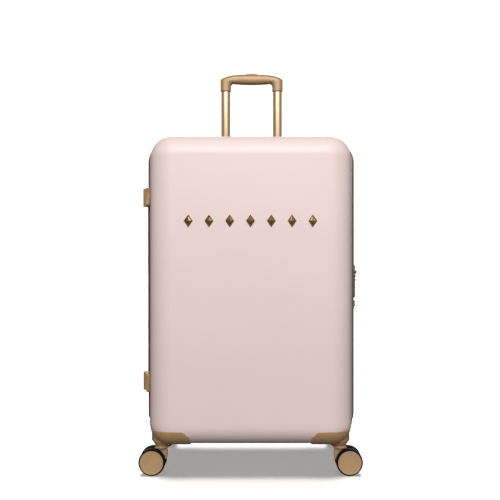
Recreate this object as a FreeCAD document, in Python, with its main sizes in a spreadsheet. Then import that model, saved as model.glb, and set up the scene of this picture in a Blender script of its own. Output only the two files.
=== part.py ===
import FreeCAD, Part
import os
import re

from FreeCAD import Placement, Rotation, Vector
import Sketcher

# A hard shell suitcase on four twin-wheel casters, in millimetres.
# X is across the case, Y is through it (lid at -Y, base at +Y), Z is up, floor at Z = 0.

os.makedirs("parts", exist_ok=True)
doc = FreeCAD.newDocument("suitcase")

SIZES = {
    # shells
    "rim_gap": 8,
    "depth": 155,
    "rim_half": 246,
    "end_half": 219,
    "rim_low": 65.6,
    "end_low": 73.6,
    "rim_high": 766,
    "end_high": 761,
    "corner_round": 48,
    "face_round": 42,
    "wall": 2.5,
    "guard_skin": 2.2,
    "cut_reach": 20,
    "cut_lap": 1,
    # linings
    "lining_inset": 4,
    "lining_skin": 1,
    "lining_start": 14.4,
    "lining_floor": 111,
    "lining_floor_round": 14,
    "cover_gap": 0.6,
    # zip
    "tape_inset": 3.6,
    "tape_skin": 1.2,
    "tape_inner": 14,
    "tape_outer": 1.6,
    "coil_inset": 2.9,
    "coil_skin": 2.4,
    "coil_gap": 0.16,
    "hinge_cut_low": 166,
    "hinge_cut_high": 657,
    # hinges that are also the side feet
    "hinge_tall": 44,
    "hinge_upper": 611,
    "hinge_lower": 168,
    "hinge_axis": 253,
    "barrel_round": 9,
    "knuckle_tall": 14.4,
    "knuckle_gap": 0.4,
    "leaf_near": 11,
    "leaf_far": 36,
    "leaf_face": 249.6,
    "leaf_root": 240,
    "web_face": 254,
    "pin_round": 2.5,
    "run_gap": 0.06,
    "pin_set": 1,
    "leaf_round": 5,
    "web_lap": 1.2,
    # fabric hinge
    "fabric_low": 213,
    "fabric_high": 610,
    "fold_root": 242.2,
    "fold_skin": 1,
    "fold_half": 13,
    "fold_foot": 7,
    "fold_top": 3,
    "fold_crest": 249,
    # studs on the lid
    "stud_wide": 20,
    "stud_tall": 29,
    "stud_proud": 2.4,
    "stud_pitch": 45.6,
    "stud_level": 570.7,
    # telescopic handle
    "tube_middle": 68,
    "tube_wide": 23,
    "tube_deep": 16,
    "tube_skin": 1.2,
    "tube_round": 4,
    "sleeve_round": 6,
    "tube_line": 133,
    "sleeve_skin": 1.7,
    "slide_gap": 0.3,
    "tube_low": 333,
    "tube_high": 931,
    "sleeve_low": 124,
    "sleeve_high": 713.6,
    "bracket_low": 116,
    "bracket_high": 144,
    "bracket_half": 88,
    "bracket_front": 13,
    "bracket_edge": 3,
    "grip_half": 81.7,
    "grip_low": 923,
    "grip_under": 941,
    "grip_shoulder": 957,
    "grip_high": 967,
    "grip_deep": 24,
    "grip_crown": 56,
    "grip_flat": 30,
    "grip_edge": 5.5,
    "leg_skin": 2.2,
    "button_half": 16.4,
    "button_deep": 13,
    "button_high": 970,
    "button_tall": 12,
    "button_gap": 0.35,
    "button_sink": 3.4,
    "button_round": 3,
    "button_edge": 1.4,
    "cup_half": 95,
    "cup_front": 112.4,
    "cup_back": 150,
    "cup_low": 714,
    "cup_skin": 2,
    "cup_floor": 3,
    "cup_round": 7,
    "cup_clear": 0.5,
    "flange_reach": 5,
    "flange_back": 153.4,
    "flange_round": 9,
    # carry handles
    "top_handle_depth": 58,
    "top_handle_level": 764.3,
    "side_handle_depth": 75,
    "side_handle_level": 416,
    "side_handle_face": 233.7,
    "bar_half": 107,
    "bar_wide": 24,
    "bar_low": 9,
    "bar_end": 13.4,
    "bar_high": 17,
    "bar_crown": 60,
    "bar_bow": 0.6,
    "bar_edge": 1.6,
    "post_near": 98,
    "post_far": 106,
    "post_half": 8,
    "foot_low": 13,
    "foot_thick": 3,
    "foot_reach": 3,
    "socket_near": 88,
    "socket_far": 116,
    "socket_half": 16,
    "socket_low": 16,
    "socket_high": 8.6,
    "socket_roof": 4,
    "socket_wall": 2.4,
    "socket_floor": 1.6,
    "socket_edge": 2,
    "post_gap": 0.5,
    # lock
    "lock_low": 390,
    "lock_high": 460,
    "lock_near": 10,
    "lock_far": 40,
    "lock_face": 255,
    "lock_root": 238,
    "lock_middle": 25,
    "lock_round": 5,
    "lock_edge": 2,
    "dial_axis": 251.5,
    "dial_round": 6.5,
    "dial_tall": 7.4,
    "dial_pitch": 8.4,
    "dial_lowest": 429.6,
    "dial_bore": 7.2,
    "dial_gap": 0.4,
    "window_deep": 2.5,
    "spindle_seat": 2.4,
    "spindle_round": 1.8,
    "button_low": 413,
    "button_top": 425,
    "press_half": 6,
    "press_face": 256.6,
    "press_root": 248,
    "press_travel": 2.4,
    "press_round": 2,
    "press_edge": 0.8,
    "key_level": 402,
    "key_round": 5,
    "key_face": 255.8,
    "key_root": 247.5,
    "key_clear": 0.4,
    "key_slot_deep": 1.2,
    "key_slot_half": 0.6,
    "key_slot_reach": 3.4,
    # zip sliders and pulls
    "slider_half": 4.6,
    "slider_tall": 10,
    "slider_face": 248.6,
    "slider_root": 243.8,
    "hood_round": 2,
    "hood_edge": 1,
    "lug_half": 2.4,
    "lug_reach": 1.6,
    "lug_near": 0.3,
    "lug_far": 1.5,
    "upper_slider_low": 462,
    "lower_slider_low": 377,
    "pull_axis": 250.8,
    "pull_thick": 1.8,
    "pull_reach": 14,
    "pull_ring": 4.2,
    "pull_hole": 1.9,
    "pull_eye": 1.75,
    "pull_back": 0.9,
    "pull_front": 1.7,
    "pull_pin": 0.9,
    # casters
    "caster_across": 202,
    "caster_depth": 108,
    "trail": 20,
    "wheel_round": 30,
    "hub_round": 25,
    "cap_round": 26.3,
    "wheel_near": 4.6,
    "wheel_far": 21.5,
    "cap_thick": 2,
    "hub_set": 0.6,
    "tyre_edge": 2.4,
    "axle_round": 3,
    "boss_low": 66,
    "boss_high": 78,
    "boss_small": 13.8,
    "boss_large": 22,
    "post_round": 8,
    "post_top": 88,
    "disc_low": 60.6,
    "disc_high": 65.6,
    "disc_round": 14,
    "blade_half": 3.8,
    "blade_low": 18,
    "blade_inset": 0.5,
    "blade_round": 4,
    "kingpin_round": 4,
    "kingpin_thin": 2.5,
    "kingpin_low": 50,
    "kingpin_top": 86,
    "guard_high": 106,
    "guard_shoulder": 154,
    "guard_waist": 136,
    "guard_start": 46,
    "guard_front_reach": 158,
    "guard_back_reach": 152.6,
    # packing straps
    "strap_wide": 25,
    "strap_long": 400,
    "strap_thick": 1.2,
    "strap_gap": 0.2,
    "strap_back": 109.8,
    "strap_level": 416,
    "strap_lean": 32,
    "buckle_half": 27,
    "buckle_tall": 36,
    "buckle_thick": 6,
    "buckle_round": 8,
    "buckle_edge": 1.5,
}

sheet = doc.addObject("Spreadsheet::Sheet", "sizes")
for row, (word, value) in enumerate(SIZES.items(), start=1):
    sheet.set(f"A{row}", word)
    sheet.set(f"B{row}", str(value))
    sheet.setAlias(f"B{row}", word)
doc.recompute()


def formula(text):
    """A formula in the words of the sheet, written for an expression."""
    return re.sub(
        r"[a-z]+(?:_[a-z]+)*",
        lambda word: f"sizes.{word.group(0)}" if word.group(0) in SIZES else word.group(0),
        str(text),
    )


def worth(text):
    """The number a formula stands for, worked out in a spare cell of the sheet."""
    sheet.set("D1", f"={text}")
    sheet.recompute()
    return float(sheet.get("D1"))


def link(item, **links):
    for name, text in links.items():
        item.setExpression(name, formula(text))


def place(item, x, y, z, turn=None):
    if turn is not None:
        item.Placement = Placement(Vector(0, 0, 0), turn)
    for axis, text in (("x", x), ("y", y), ("z", z)):
        item.setExpression(f"Placement.Base.{axis}", formula(text))


TURN_TO_X = Rotation(Vector(0, 1, 0), 90)
TURN_TO_Y = Rotation(Vector(1, 0, 0), -90)
HALF_TURN = Rotation(Vector(0, 0, 1), 180)
AXIS_NUMBER = {"x": 0, "y": 1, "z": 2}


def box(name, x, y, z, kind="Part::Box", owner=None):
    """A block between two ends on each axis; each end is a formula."""
    block = owner.newObject(kind, name) if owner else doc.addObject(kind, name)
    link(
        block,
        Length=f"({x[1]}) - ({x[0]})",
        Width=f"({y[1]}) - ({y[0]})",
        Height=f"({z[1]}) - ({z[0]})",
    )
    place(block, x[0], y[0], z[0])
    return block


def rod(name, axis, radius, start, end, centre):
    """A cylinder along one axis; centre gives the other two coordinates in order."""
    cylinder = doc.addObject("Part::Cylinder", name)
    link(cylinder, Radius=radius, Height=f"({end}) - ({start})")
    if axis == "x":
        place(cylinder, start, centre[0], centre[1], TURN_TO_X)
    elif axis == "y":
        place(cylinder, centre[0], start, centre[1], TURN_TO_Y)
    else:
        place(cylinder, centre[0], centre[1], start)
    return cylinder


def along(axis):
    """Chooses the straight edges that run along an axis, or nearly."""

    def chosen(edge, shape):
        if len(edge.Vertexes) < 2:
            return False
        run = edge.Vertexes[-1].Point - edge.Vertexes[0].Point
        return run.Length > 0 and abs(run[AXIS_NUMBER[axis]]) / run.Length > 0.9

    return chosen


def face_loop(axis, side):
    """Chooses the edges that lie in the first or last plane of the shape on an axis."""

    def chosen(edge, shape):
        number = AXIS_NUMBER[axis]
        levels = [vertex.Point[number] for vertex in shape.Vertexes]
        plane = min(levels) if side < 0 else max(levels)
        return all(abs(vertex.Point[number] - plane) < 0.01 for vertex in edge.Vertexes)

    return chosen


def round_edges(body, radius, chosen):
    doc.recompute()
    tip = body.Tip
    edges = [
        f"Edge{number}"
        for number, edge in enumerate(tip.Shape.Edges, start=1)
        if chosen(edge, tip.Shape)
    ]
    rounding = body.newObject("PartDesign::Fillet", f"{body.Name}_round")
    rounding.Base = (tip, edges)
    link(rounding, Radius=radius)


def soft_box(name, x, y, z, *rounds):
    """A block with some of its edges rounded; rounds are (radius, chooser)."""
    body = doc.addObject("PartDesign::Body", name)
    box(f"{name}_block", x, y, z, "PartDesign::AdditiveBox", body)
    for radius, chosen in rounds:
        round_edges(body, radius, chosen)
    return body


def origin_plane(body, role):
    return next(item for item in body.Origin.OriginFeatures if item.Role == role)


def plate(name, plane, points, start, thick, *rounds):
    """An outline drawn on one of the body's own planes and raised along its normal.

    On XZ_Plane the points are (x, z) and it grows along +Y from start, on XY_Plane they
    are (x, y) and it grows along +Z.
    """
    body = doc.addObject("PartDesign::Body", name)
    sketch = body.newObject("Sketcher::SketchObject", f"{name}_outline")
    sketch.AttachmentSupport = [(origin_plane(body, plane), "")]
    sketch.MapMode = "FlatFace"
    count = len(points)
    plain = [(worth(point[0]), worth(point[1])) for point in points]
    for number in range(count):
        first = plain[number]
        second = plain[(number + 1) % count]
        sketch.addGeometry(
            Part.LineSegment(Vector(first[0], first[1], 0), Vector(second[0], second[1], 0))
        )
    for number in range(count):
        following = (number + 1) % count
        sketch.addConstraint(Sketcher.Constraint("Coincident", number, 2, following, 1))
    for number, point in enumerate(points):
        for kind, text, value in zip(("DistanceX", "DistanceY"), point, plain[number]):
            where = sketch.addConstraint(Sketcher.Constraint(kind, -1, 1, number, 1, value))
            sketch.setExpression(f"Constraints[{where}]", formula(text))
    pad = body.newObject("PartDesign::Pad", f"{name}_pad")
    pad.Profile = sketch
    pad.Reversed = plane == "XZ_Plane"
    link(pad, Length=thick)
    if plane == "XZ_Plane":
        place(body, 0, start, 0)
    else:
        place(body, 0, 0, start)
    for radius, chosen in rounds:
        round_edges(body, radius, chosen)
    return body


def mirrored(points):
    """An outline given for positive X, closed with its mirror image at negative X."""
    return points + [(f"-({x})", y) for x, y in reversed(points)]


def joined(name, *pieces):
    union = doc.addObject("Part::MultiFuse", name)
    union.Shapes = list(pieces)
    union.Refine = True
    return union


def group(name, *pieces):
    together = doc.addObject("Part::Compound", name)
    together.Links = list(pieces)
    return together


def minus(name, base, *tools):
    cut = doc.addObject("Part::Cut", name)
    cut.Base = base
    cut.Tool = tools[0] if len(tools) == 1 else joined(f"{name}_tools", *tools)
    return cut


def within(name, first, second):
    common = doc.addObject("Part::MultiCommon", name)
    common.Shapes = [first, second]
    return common


NODES = {}


def node(name, item):
    """Keeps an object as a sub-part: its label names its file."""
    item.Label = name
    NODES[name] = item
    return item


def case_half(name, inset, start, end, face_round, side, hollow=None):
    """One half of the case as a tapered, rounded solid, or as a skin of some thickness."""
    body = doc.addObject("PartDesign::Body", name)
    wedge = body.newObject("PartDesign::AdditiveWedge", f"{name}_wedge")
    reach = "(depth - rim_gap)"
    first = f"(({start}) - rim_gap) / {reach}"
    last = f"(({end}) - rim_gap) / {reach}"

    def between(rim, far, share):
        return f"{rim} + ({far} - {rim}) * {share}"

    half_first = f"{between('rim_half', 'end_half', first)} - ({inset})"
    half_last = f"{between('rim_half', 'end_half', last)} - ({inset})"
    link(
        wedge,
        Xmin=f"-({half_first})",
        Xmax=half_first,
        X2min=f"-({half_last})",
        X2max=half_last,
        Zmin=f"{between('rim_low', 'end_low', first)} + ({inset})",
        Zmax=f"{between('rim_high', 'end_high', first)} - ({inset})",
        Z2min=f"{between('rim_low', 'end_low', last)} + ({inset})",
        Z2max=f"{between('rim_high', 'end_high', last)} - ({inset})",
        Ymin=start,
        Ymax=end,
    )
    round_edges(body, f"corner_round - ({inset})", along("y"))
    round_edges(body, face_round, face_loop("y", 1))
    if hollow:
        doc.recompute()
        tip = body.Tip
        mouth = min(
            range(len(tip.Shape.Faces)),
            key=lambda number: tip.Shape.Faces[number].CenterOfMass.y,
        )
        skin = body.newObject("PartDesign::Thickness", f"{name}_skin")
        skin.Base = (tip, [f"Face{mouth + 1}"])
        skin.Reversed = True
        skin.Join = "Intersection"
        link(skin, Value=hollow)
    if side < 0:
        body.Placement = Placement(Vector(0, 0, 0), HALF_TURN)
    return body


def ring(name, inset, skin, near, far):
    """A closed band that follows the outline of the case at some inset from the rim."""
    parts = []
    for label, depth in (("outer", inset), ("inner", f"{inset} + {skin}")):
        parts.append(
            soft_box(
                f"{name}_{label}",
                (f"-(rim_half - ({depth}))", f"rim_half - ({depth})"),
                (near, far),
                (f"rim_low + {depth}", f"rim_high - ({depth})"),
                (f"corner_round - ({depth})", along("y")),
            )
        )
    return minus(name, *parts)


# Shells, straps between them, linings and the zip -----------------------------------------

case_outer_rear = case_half("case_outer_rear", 0, "rim_gap", "depth", "face_round", 1)
case_outer_front = case_half("case_outer_front", 0, "rim_gap", "depth", "face_round", -1)
case_grown_rear = case_half(
    "case_grown_rear", "-guard_skin", "rim_gap", "depth + guard_skin",
    "face_round + guard_skin", 1,
)
case_grown_front = case_half(
    "case_grown_front", "-guard_skin", "rim_gap", "depth + guard_skin",
    "face_round + guard_skin", -1,
)


def socket_box(name, across, base, turn, grown, low, high):
    """The block of one handle socket; base is where the handle stands on the case."""
    near = f"(socket_near + socket_far) / 2 * {across} - (socket_far - socket_near) / 2"
    block = box(name, ("0", f"socket_far - socket_near + 2 * ({grown})"),
                ("0", f"2 * socket_half + 2 * ({grown})"), ("0", f"({high}) - ({low})"))
    if turn is None:
        place(block, f"{base[0]} + {near} - ({grown})",
              f"{base[1]} - socket_half - ({grown})", f"{base[2]} + ({low})")
    else:
        place(block, f"{base[0]} + ({low})", f"{base[1]} - socket_half - ({grown})",
              f"{base[2]} - ({near}) + ({grown})", turn)
    return block


HANDLES = {
    "top_handle": (("0", "top_handle_depth", "top_handle_level"), None),
    "side_handle": (("side_handle_face", "side_handle_depth", "side_handle_level"), TURN_TO_X),
}
CORNERS = {
    "front_left": (-1, -1),
    "front_right": (1, -1),
    "rear_left": (-1, 1),
    "rear_right": (1, 1),
}


def socket_boxes(name, grown, low, high):
    return [
        socket_box(f"{name}_{handle}_{word}", across, base, turn, grown, low, high)
        for handle, (base, turn) in HANDLES.items()
        for word, across in (("first", 1), ("second", -1))
    ]


def caster_posts(name, front_or_rear, radius, low, high):
    return [
        rod(f"{name}_{corner}", "z", radius, low, high,
            (f"caster_across * {across}", f"caster_depth * {through}"))
        for corner, (across, through) in CORNERS.items()
        if through == front_or_rear
    ]


front_skin = case_half("front_shell_form", 0, "rim_gap", "depth", "face_round", -1, "wall")
node("front_shell", minus("front_shell", front_skin,
                          *caster_posts("front_shell_hole", -1, "post_round", "kingpin_low",
                                        "post_top")))
rear_skin = case_half("rear_shell_form", 0, "rim_gap", "depth", "face_round", 1, "wall")
node("rear_shell", minus(
    "rear_shell", rear_skin,
    *caster_posts("rear_shell_hole", 1, "post_round", "kingpin_low", "post_top"),
    *socket_boxes("rear_shell_slot", 0, "-cut_reach", "cut_reach"),
    box("rear_shell_recess", ("-cup_half", "cup_half"), ("cup_front", "cup_back"),
        ("cup_low", "rim_high + cut_reach")),
))


def lining(name, floor, floor_round, side, covers):
    """A cloth skin inside one shell, with raised covers over the fittings behind it."""
    solid = case_half(f"{name}_solid", "lining_inset", "lining_start", floor, floor_round, side)
    room = case_half(f"{name}_room", "lining_inset + lining_skin", "lining_start - cover_gap",
                     f"{floor} - lining_skin", f"{floor_round} - lining_skin", side)
    inner = minus(f"{name}_hold", room, *covers("outer", "cover_gap + lining_skin"))
    return minus(name, solid, inner, *covers("inner", "cover_gap"))


def post_covers(name, through, grown):
    reach = f"post_round + ({grown})"
    covers = []
    for corner, (across, side) in CORNERS.items():
        if side == through:
            middle = (f"caster_across * {across}", f"caster_depth * {side}")
            covers.append(box(
                f"{name}_{corner}", (f"{middle[0]} - ({reach})", f"{middle[0]} + {reach}"),
                (f"{middle[1]} - ({reach})", f"{middle[1]} + {reach}"),
                ("kingpin_low", f"post_top + {grown}"),
            ))
    return covers


def front_covers(word, grown):
    return post_covers(f"front_cover_{word}", -1, grown)


def rear_covers(word, grown):
    return post_covers(f"rear_cover_{word}", 1, grown) + socket_boxes(
        f"rear_cover_{word}", grown, f"-socket_low - ({grown})", "cut_reach")


node("front_lining", lining("front_lining", "depth - lining_inset",
                            "face_round - lining_inset", -1, front_covers))
node("rear_lining", lining("rear_lining", "lining_floor", "lining_floor_round", 1, rear_covers))

for half, side in (("rear", 1), ("front", -1)):
    for kind, inset, skin, near, far in (
        ("zip_tape", "tape_inset", "tape_skin", "tape_outer", "tape_inner"),
        ("zip_teeth", "coil_inset", "coil_skin", "coil_gap", "tape_outer"),
    ):
        name = f"{half}_{kind}"
        ends = (near, far) if side > 0 else (f"-{far}", f"-{near}")
        band = ring(f"{name}_band", inset, skin, *ends)
        gap = box(f"{name}_gap", ("-rim_half", "-rim_half / 2"), ("-rim_half", "rim_half"),
                  ("hinge_cut_low", "hinge_cut_high"))
        node(name, minus(name, band, gap))

# Hinges that serve as side feet, and the cloth strip between them --------------------------


def hinge(word, low):
    high = f"{low} + hinge_tall"
    knuckles = {
        "base": ((low, f"{low} + knuckle_tall"), (f"{high} - knuckle_tall", high)),
        "lid": ((f"{low} + knuckle_tall + knuckle_gap", f"{high} - knuckle_tall - knuckle_gap"),),
    }
    for half, side in (("base", 1), ("lid", -1)):
        name = f"{word}_hinge_{half}_leaf"
        near, far = ("leaf_near", "leaf_far") if side > 0 else ("-leaf_far", "-leaf_near")
        leaf = soft_box(f"{name}_plate", ("-leaf_face", "-leaf_root"), (near, far), (low, high),
                        ("leaf_round", lambda edge, shape, side=side: along("x")(edge, shape)
                         and edge.Vertexes[0].Point.y * side > SIZES["leaf_near"] + 1))
        seated = minus(f"{name}_seated", leaf,
                       case_outer_rear if side > 0 else case_outer_front)
        pieces = [seated]
        for number, (start, end) in enumerate(knuckles[half], start=1):
            pieces.append(rod(f"{name}_barrel_{number}", "z", "barrel_round", start, end,
                              ("-hinge_axis", 0)))
            web = (0, "leaf_near + web_lap") if side > 0 else ("-leaf_near - web_lap", 0)
            pieces.append(box(f"{name}_web_{number}", ("-web_face", "-leaf_face + web_lap"), web,
                              (start, end)))
        bore = "pin_round" if half == "base" else "pin_round + run_gap"
        hole = rod(f"{name}_bore", "z", bore, f"{low} - cut_lap", f"{high} + cut_lap",
                   ("-hinge_axis", 0))
        node(name, minus(name, joined(f"{name}_body", *pieces), hole))
    return rod(f"{word}_pin", "z", "pin_round", f"{low} + pin_set", f"{high} - pin_set",
               ("-hinge_axis", 0))


node("hinge_pins", group("hinge_pins", hinge("upper", "hinge_upper"),
                         hinge("lower", "hinge_lower")))
FOLD_HALF = [
    ("-fold_root", "fold_half"), ("-fold_root - 0.1", "fold_half - 4"),
    ("-fold_root - fold_skin * 0.8", "fold_foot"), ("-fold_crest", "fold_top"),
]
FOLD_INNER_HALF = [
    ("-fold_root + fold_skin", "fold_half"), ("-fold_root + fold_skin * 0.9", "fold_half - 4.3"),
    ("-fold_root", "fold_foot - 0.7"), ("-fold_crest + fold_skin", "fold_top - 0.6"),
]
FABRIC_SECTION = (
    FOLD_HALF + [(x, f"-({y})") for x, y in reversed(FOLD_HALF)]
    + [(x, f"-({y})") for x, y in FOLD_INNER_HALF] + FOLD_INNER_HALF[::-1]
)
node("fabric_hinge", plate("fabric_hinge", "XY_Plane", FABRIC_SECTION, "fabric_low",
                           "fabric_high - fabric_low"))

# Studs across the lid ------------------------------------------------------------------------

STUDS_EACH_SIDE = 3
studs = []
for number in range(-STUDS_EACH_SIDE, STUDS_EACH_SIDE + 1):
    stud = plate(f"stud_{number + STUDS_EACH_SIDE + 1}", "XZ_Plane",
                 [("stud_wide / 2", "0"), ("0", "stud_tall / 2"),
                  ("-stud_wide / 2", "0"), ("0", "-stud_tall / 2")],
                 0, "stud_proud")
    place(stud, f"stud_pitch * {number}", "-depth - stud_proud", "stud_level")
    studs.append(stud)
node("lid_studs", group("lid_studs", *studs))

# Telescopic handle ----------------------------------------------------------------------------


def upright(name, across, grown, low, high, edge_round):
    """One upright of the handle as a rounded bar; grown widens it on every side."""
    half = f"(tube_wide / 2 + {grown})"
    deep = f"(tube_deep / 2 + {grown})"
    middle = f"tube_middle * {across}"
    return soft_box(name, (f"{middle} - {half}", f"{middle} + {half}"),
                    (f"tube_line - {deep}", f"tube_line + {deep}"), (low, high),
                    (edge_round, along("z")))


def upright_pair(name, outer, inner, low, high, edge_round):
    tubes = []
    for word, across in (("left", -1), ("right", 1)):
        solid = upright(f"{name}_{word}_outer", across, outer, low, high, edge_round)
        bore = upright(f"{name}_{word}_bore", across, inner, f"{low} - cut_lap",
                       f"{high} + cut_lap", f"{edge_round} - ({outer} - ({inner}))")
        tubes.append(minus(f"{name}_{word}", solid, bore))
    return node(name, group(name, *tubes))


upright_pair("trolley_outer_tubes", "(slide_gap + sleeve_skin)", "slide_gap",
             "sleeve_low", "sleeve_high", "sleeve_round")
upright_pair("trolley_inner_tubes", 0, "-tube_skin", "tube_low", "tube_high", "tube_round")

bracket = soft_box("bracket_block", ("-bracket_half", "bracket_half"),
                   ("tube_line - bracket_front", "depth - wall"),
                   ("bracket_low", "bracket_high"), ("bracket_edge", along("x")))
bracket_pockets = [
    upright(f"bracket_pocket_{word}", across, "(slide_gap + sleeve_skin)", "sleeve_low",
            "bracket_high + cut_lap", "sleeve_round")
    for word, across in (("left", -1), ("right", 1))
]
node("trolley_foot_bracket", minus("trolley_foot_bracket", bracket, *bracket_pockets))

LEG_INNER = "tube_middle - tube_wide / 2 - leg_skin"
GRIP_RIGHT_HALF = [
    ("button_half + 8", "grip_high"), ("grip_crown", "grip_high - 2"),
    ("grip_half - 12", "grip_shoulder + 4.5"), ("grip_half - 3", "grip_shoulder - 1"),
    ("grip_half", "grip_shoulder - 10"), ("grip_half", "grip_low"),
    (LEG_INNER, "grip_low"), (LEG_INNER, "grip_under - 4"),
    (f"{LEG_INNER} - 4.8", "grip_under - 0.6"), ("grip_flat", "grip_under"),
]
grip_form = plate("grip_form", "XZ_Plane", mirrored(GRIP_RIGHT_HALF),
                  "tube_line - grip_deep / 2", "grip_deep",
                  ("grip_edge",
                   lambda edge, shape: edge.Vertexes[0].Point.z > SIZES["grip_under"] - 3
                   and (face_loop("y", 1)(edge, shape) or face_loop("y", -1)(edge, shape))))
button_pocket = box("button_pocket",
                    ("-button_half - button_gap", "button_half + button_gap"),
                    ("tube_line - button_deep / 2 - button_gap",
                     "tube_line + button_deep / 2 + button_gap"),
                    ("button_high - button_tall - button_sink", "button_high + cut_lap"))
grip_sockets = [
    upright(f"grip_socket_{word}", across, 0, "grip_low - cut_lap", "tube_high", "tube_round")
    for word, across in (("left", -1), ("right", 1))
]
node("trolley_grip", minus("trolley_grip", grip_form, button_pocket, *grip_sockets))
node("trolley_button", soft_box(
    "trolley_button", ("-button_half", "button_half"),
    ("tube_line - button_deep / 2", "tube_line + button_deep / 2"),
    ("button_high - button_tall", "button_high"),
    ("button_round", along("z")), ("button_edge", face_loop("z", 1))))

cup_room = soft_box("cup_room", ("-cup_half + cup_skin", "cup_half - cup_skin"),
                    ("cup_front + cup_skin", "cup_back - cup_skin"),
                    ("cup_low + cup_floor", "rim_high + 2 * cut_reach"),
                    ("cup_round", along("z")))
cup_block = box("cup_block", ("-cup_half", "cup_half"), ("cup_front", "cup_back"),
                ("cup_low", "rim_high + cut_reach"))
cup_walls = within("cup_walls", cup_block, case_grown_rear)
flange_block = soft_box(
    "flange_block", ("-cup_half - flange_reach", "cup_half + flange_reach"),
    ("cup_front - flange_reach", "flange_back"),
    ("cup_low - cut_reach", "rim_high + cut_reach"),
    ("flange_round", lambda edge, shape: along("z")(edge, shape)
     and edge.Vertexes[0].Point.y < SIZES["cup_front"]))
flange = minus("flange", within("flange_skin", flange_block, case_grown_rear), case_outer_rear)
cup_holes = [
    upright(f"cup_hole_{word}", across, "cup_clear", "cup_low - cut_reach",
            "cup_low + cut_reach", "tube_round")
    for word, across in (("left", -1), ("right", 1))
]
node("trolley_bezel", minus("trolley_bezel", joined("bezel_body", cup_walls, flange),
                            cup_room, *cup_holes))

# Carry handles ---------------------------------------------------------------------------------

BAR_RIGHT_HALF = [
    ("bar_crown", "bar_high"), ("bar_half", "bar_end"), ("bar_half", "bar_low"),
    ("bar_crown", "bar_low + bar_bow"),
]


def carry_handle(handle, base, turn):
    name = f"{handle.split('_')[0]}_carry_handle"
    bar = plate(f"{name}_bar", "XZ_Plane", mirrored(BAR_RIGHT_HALF), "-bar_wide / 2",
                "bar_wide", ("bar_edge", lambda edge, shape: face_loop("y", 1)(edge, shape)
                             or face_loop("y", -1)(edge, shape)))
    pieces = [bar]
    for word, across in (("first", 1), ("second", -1)):
        ends = ("post_near", "post_far") if across > 0 else ("-post_far", "-post_near")
        pieces.append(box(f"{name}_post_{word}", ends, ("-post_half", "post_half"),
                          ("-foot_low", "bar_low + cut_lap")))
        pieces.append(box(f"{name}_foot_{word}",
                          (f"{ends[0]} - foot_reach", f"{ends[1]} + foot_reach"),
                          ("-post_half - foot_reach", "post_half + foot_reach"),
                          ("-foot_low", "-foot_low + foot_thick")))
    strap = joined(name, *pieces)
    place(strap, *base, turn)
    node(name, strap)
    sockets = []
    for word, across in (("first", 1), ("second", -1)):
        ends = ("socket_near", "socket_far") if across > 0 else ("-socket_far", "-socket_near")
        hole = ("post_near", "post_far") if across > 0 else ("-post_far", "-post_near")
        part = f"{handle}_socket_{word}"
        block = soft_box(f"{part}_block", ends, ("-socket_half", "socket_half"),
                         ("-socket_low", "socket_high"), ("socket_edge", face_loop("z", 1)))
        room = box(f"{part}_room", (f"{ends[0]} + socket_wall", f"{ends[1]} - socket_wall"),
                   ("-socket_half + socket_wall", "socket_half - socket_wall"),
                   ("-socket_low + socket_floor", "socket_high - socket_roof"))
        slot = box(f"{part}_slot", (f"{hole[0]} - post_gap", f"{hole[1]} + post_gap"),
                   ("-post_half - post_gap", "post_half + post_gap"),
                   (0, "socket_high + cut_lap"))
        sockets.append(minus(part, block, room, slot))
    pair = group(f"{handle}_sockets", *sockets)
    place(pair, *base, turn)
    node(f"{handle}_sockets", pair)


for handle, (base, turn) in HANDLES.items():
    carry_handle(handle, base, turn)

# Lock, zip sliders and pulls -----------------------------------------------------------------------

lock_block = soft_box("lock_block", ("lock_root", "lock_face"), ("lock_near", "lock_far"),
                      ("lock_low", "lock_high"), ("lock_round", along("x")),
                      ("lock_edge", face_loop("x", 1)))
DIALS_TOP = "dial_lowest + 2 * dial_pitch + dial_tall"
dial_room = rod("dial_room", "z", "dial_bore", "dial_lowest - dial_gap",
                f"{DIALS_TOP} + dial_gap", ("dial_axis", "lock_middle"))
spindle = rod("lock_spindle", "z", "spindle_round", "dial_lowest - spindle_seat",
              f"{DIALS_TOP} + spindle_seat", ("dial_axis", "lock_middle"))
press_room = box("press_room", ("press_root - press_travel", "lock_face + cut_lap"),
                 ("lock_middle - press_half - button_gap", "lock_middle + press_half + button_gap"),
                 ("button_low - button_gap", "button_top + button_gap"))
key_room = rod("key_room", "x", "key_round + run_gap", "key_root", "lock_face + cut_lap",
               ("lock_middle", "key_level"))
dial_window = box("dial_window", ("lock_face - window_deep", "lock_face + cut_lap"),
                  ("lock_near - cut_lap", "lock_far + cut_lap"),
                  ("dial_lowest - dial_gap", f"{DIALS_TOP} + dial_gap"))
lock_seated = minus("lock_seated", lock_block, case_outer_rear)
node("lock_body", minus("lock_body", lock_seated, dial_room, dial_window, spindle, press_room,
                        key_room))
node("lock_spindle", spindle)
for number in range(3):
    name = f"lock_dial_{number + 1}"
    low = f"dial_lowest + dial_pitch * {number}"
    drum = rod(f"{name}_drum", "z", "dial_round", low, f"{low} + dial_tall",
               ("dial_axis", "lock_middle"))
    bore = rod(f"{name}_bore", "z", "spindle_round + run_gap", f"{low} - cut_lap",
               f"{low} + dial_tall + cut_lap", ("dial_axis", "lock_middle"))
    node(name, minus(name, drum, bore))
node("lock_button", soft_box(
    "lock_button", ("press_root", "press_face"),
    ("lock_middle - press_half", "lock_middle + press_half"), ("button_low", "button_top"),
    ("press_round", along("x")), ("press_edge", face_loop("x", 1))))
key_slot = box("key_slot", ("key_face - key_slot_deep", "key_face + cut_lap"),
               ("lock_middle - key_slot_half", "lock_middle + key_slot_half"),
               ("key_level - key_slot_reach", "key_level + key_slot_reach"))
key_barrel = rod("key_barrel", "x", "key_round", "key_root + key_clear", "key_face",
                 ("lock_middle", "key_level"))
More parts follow.
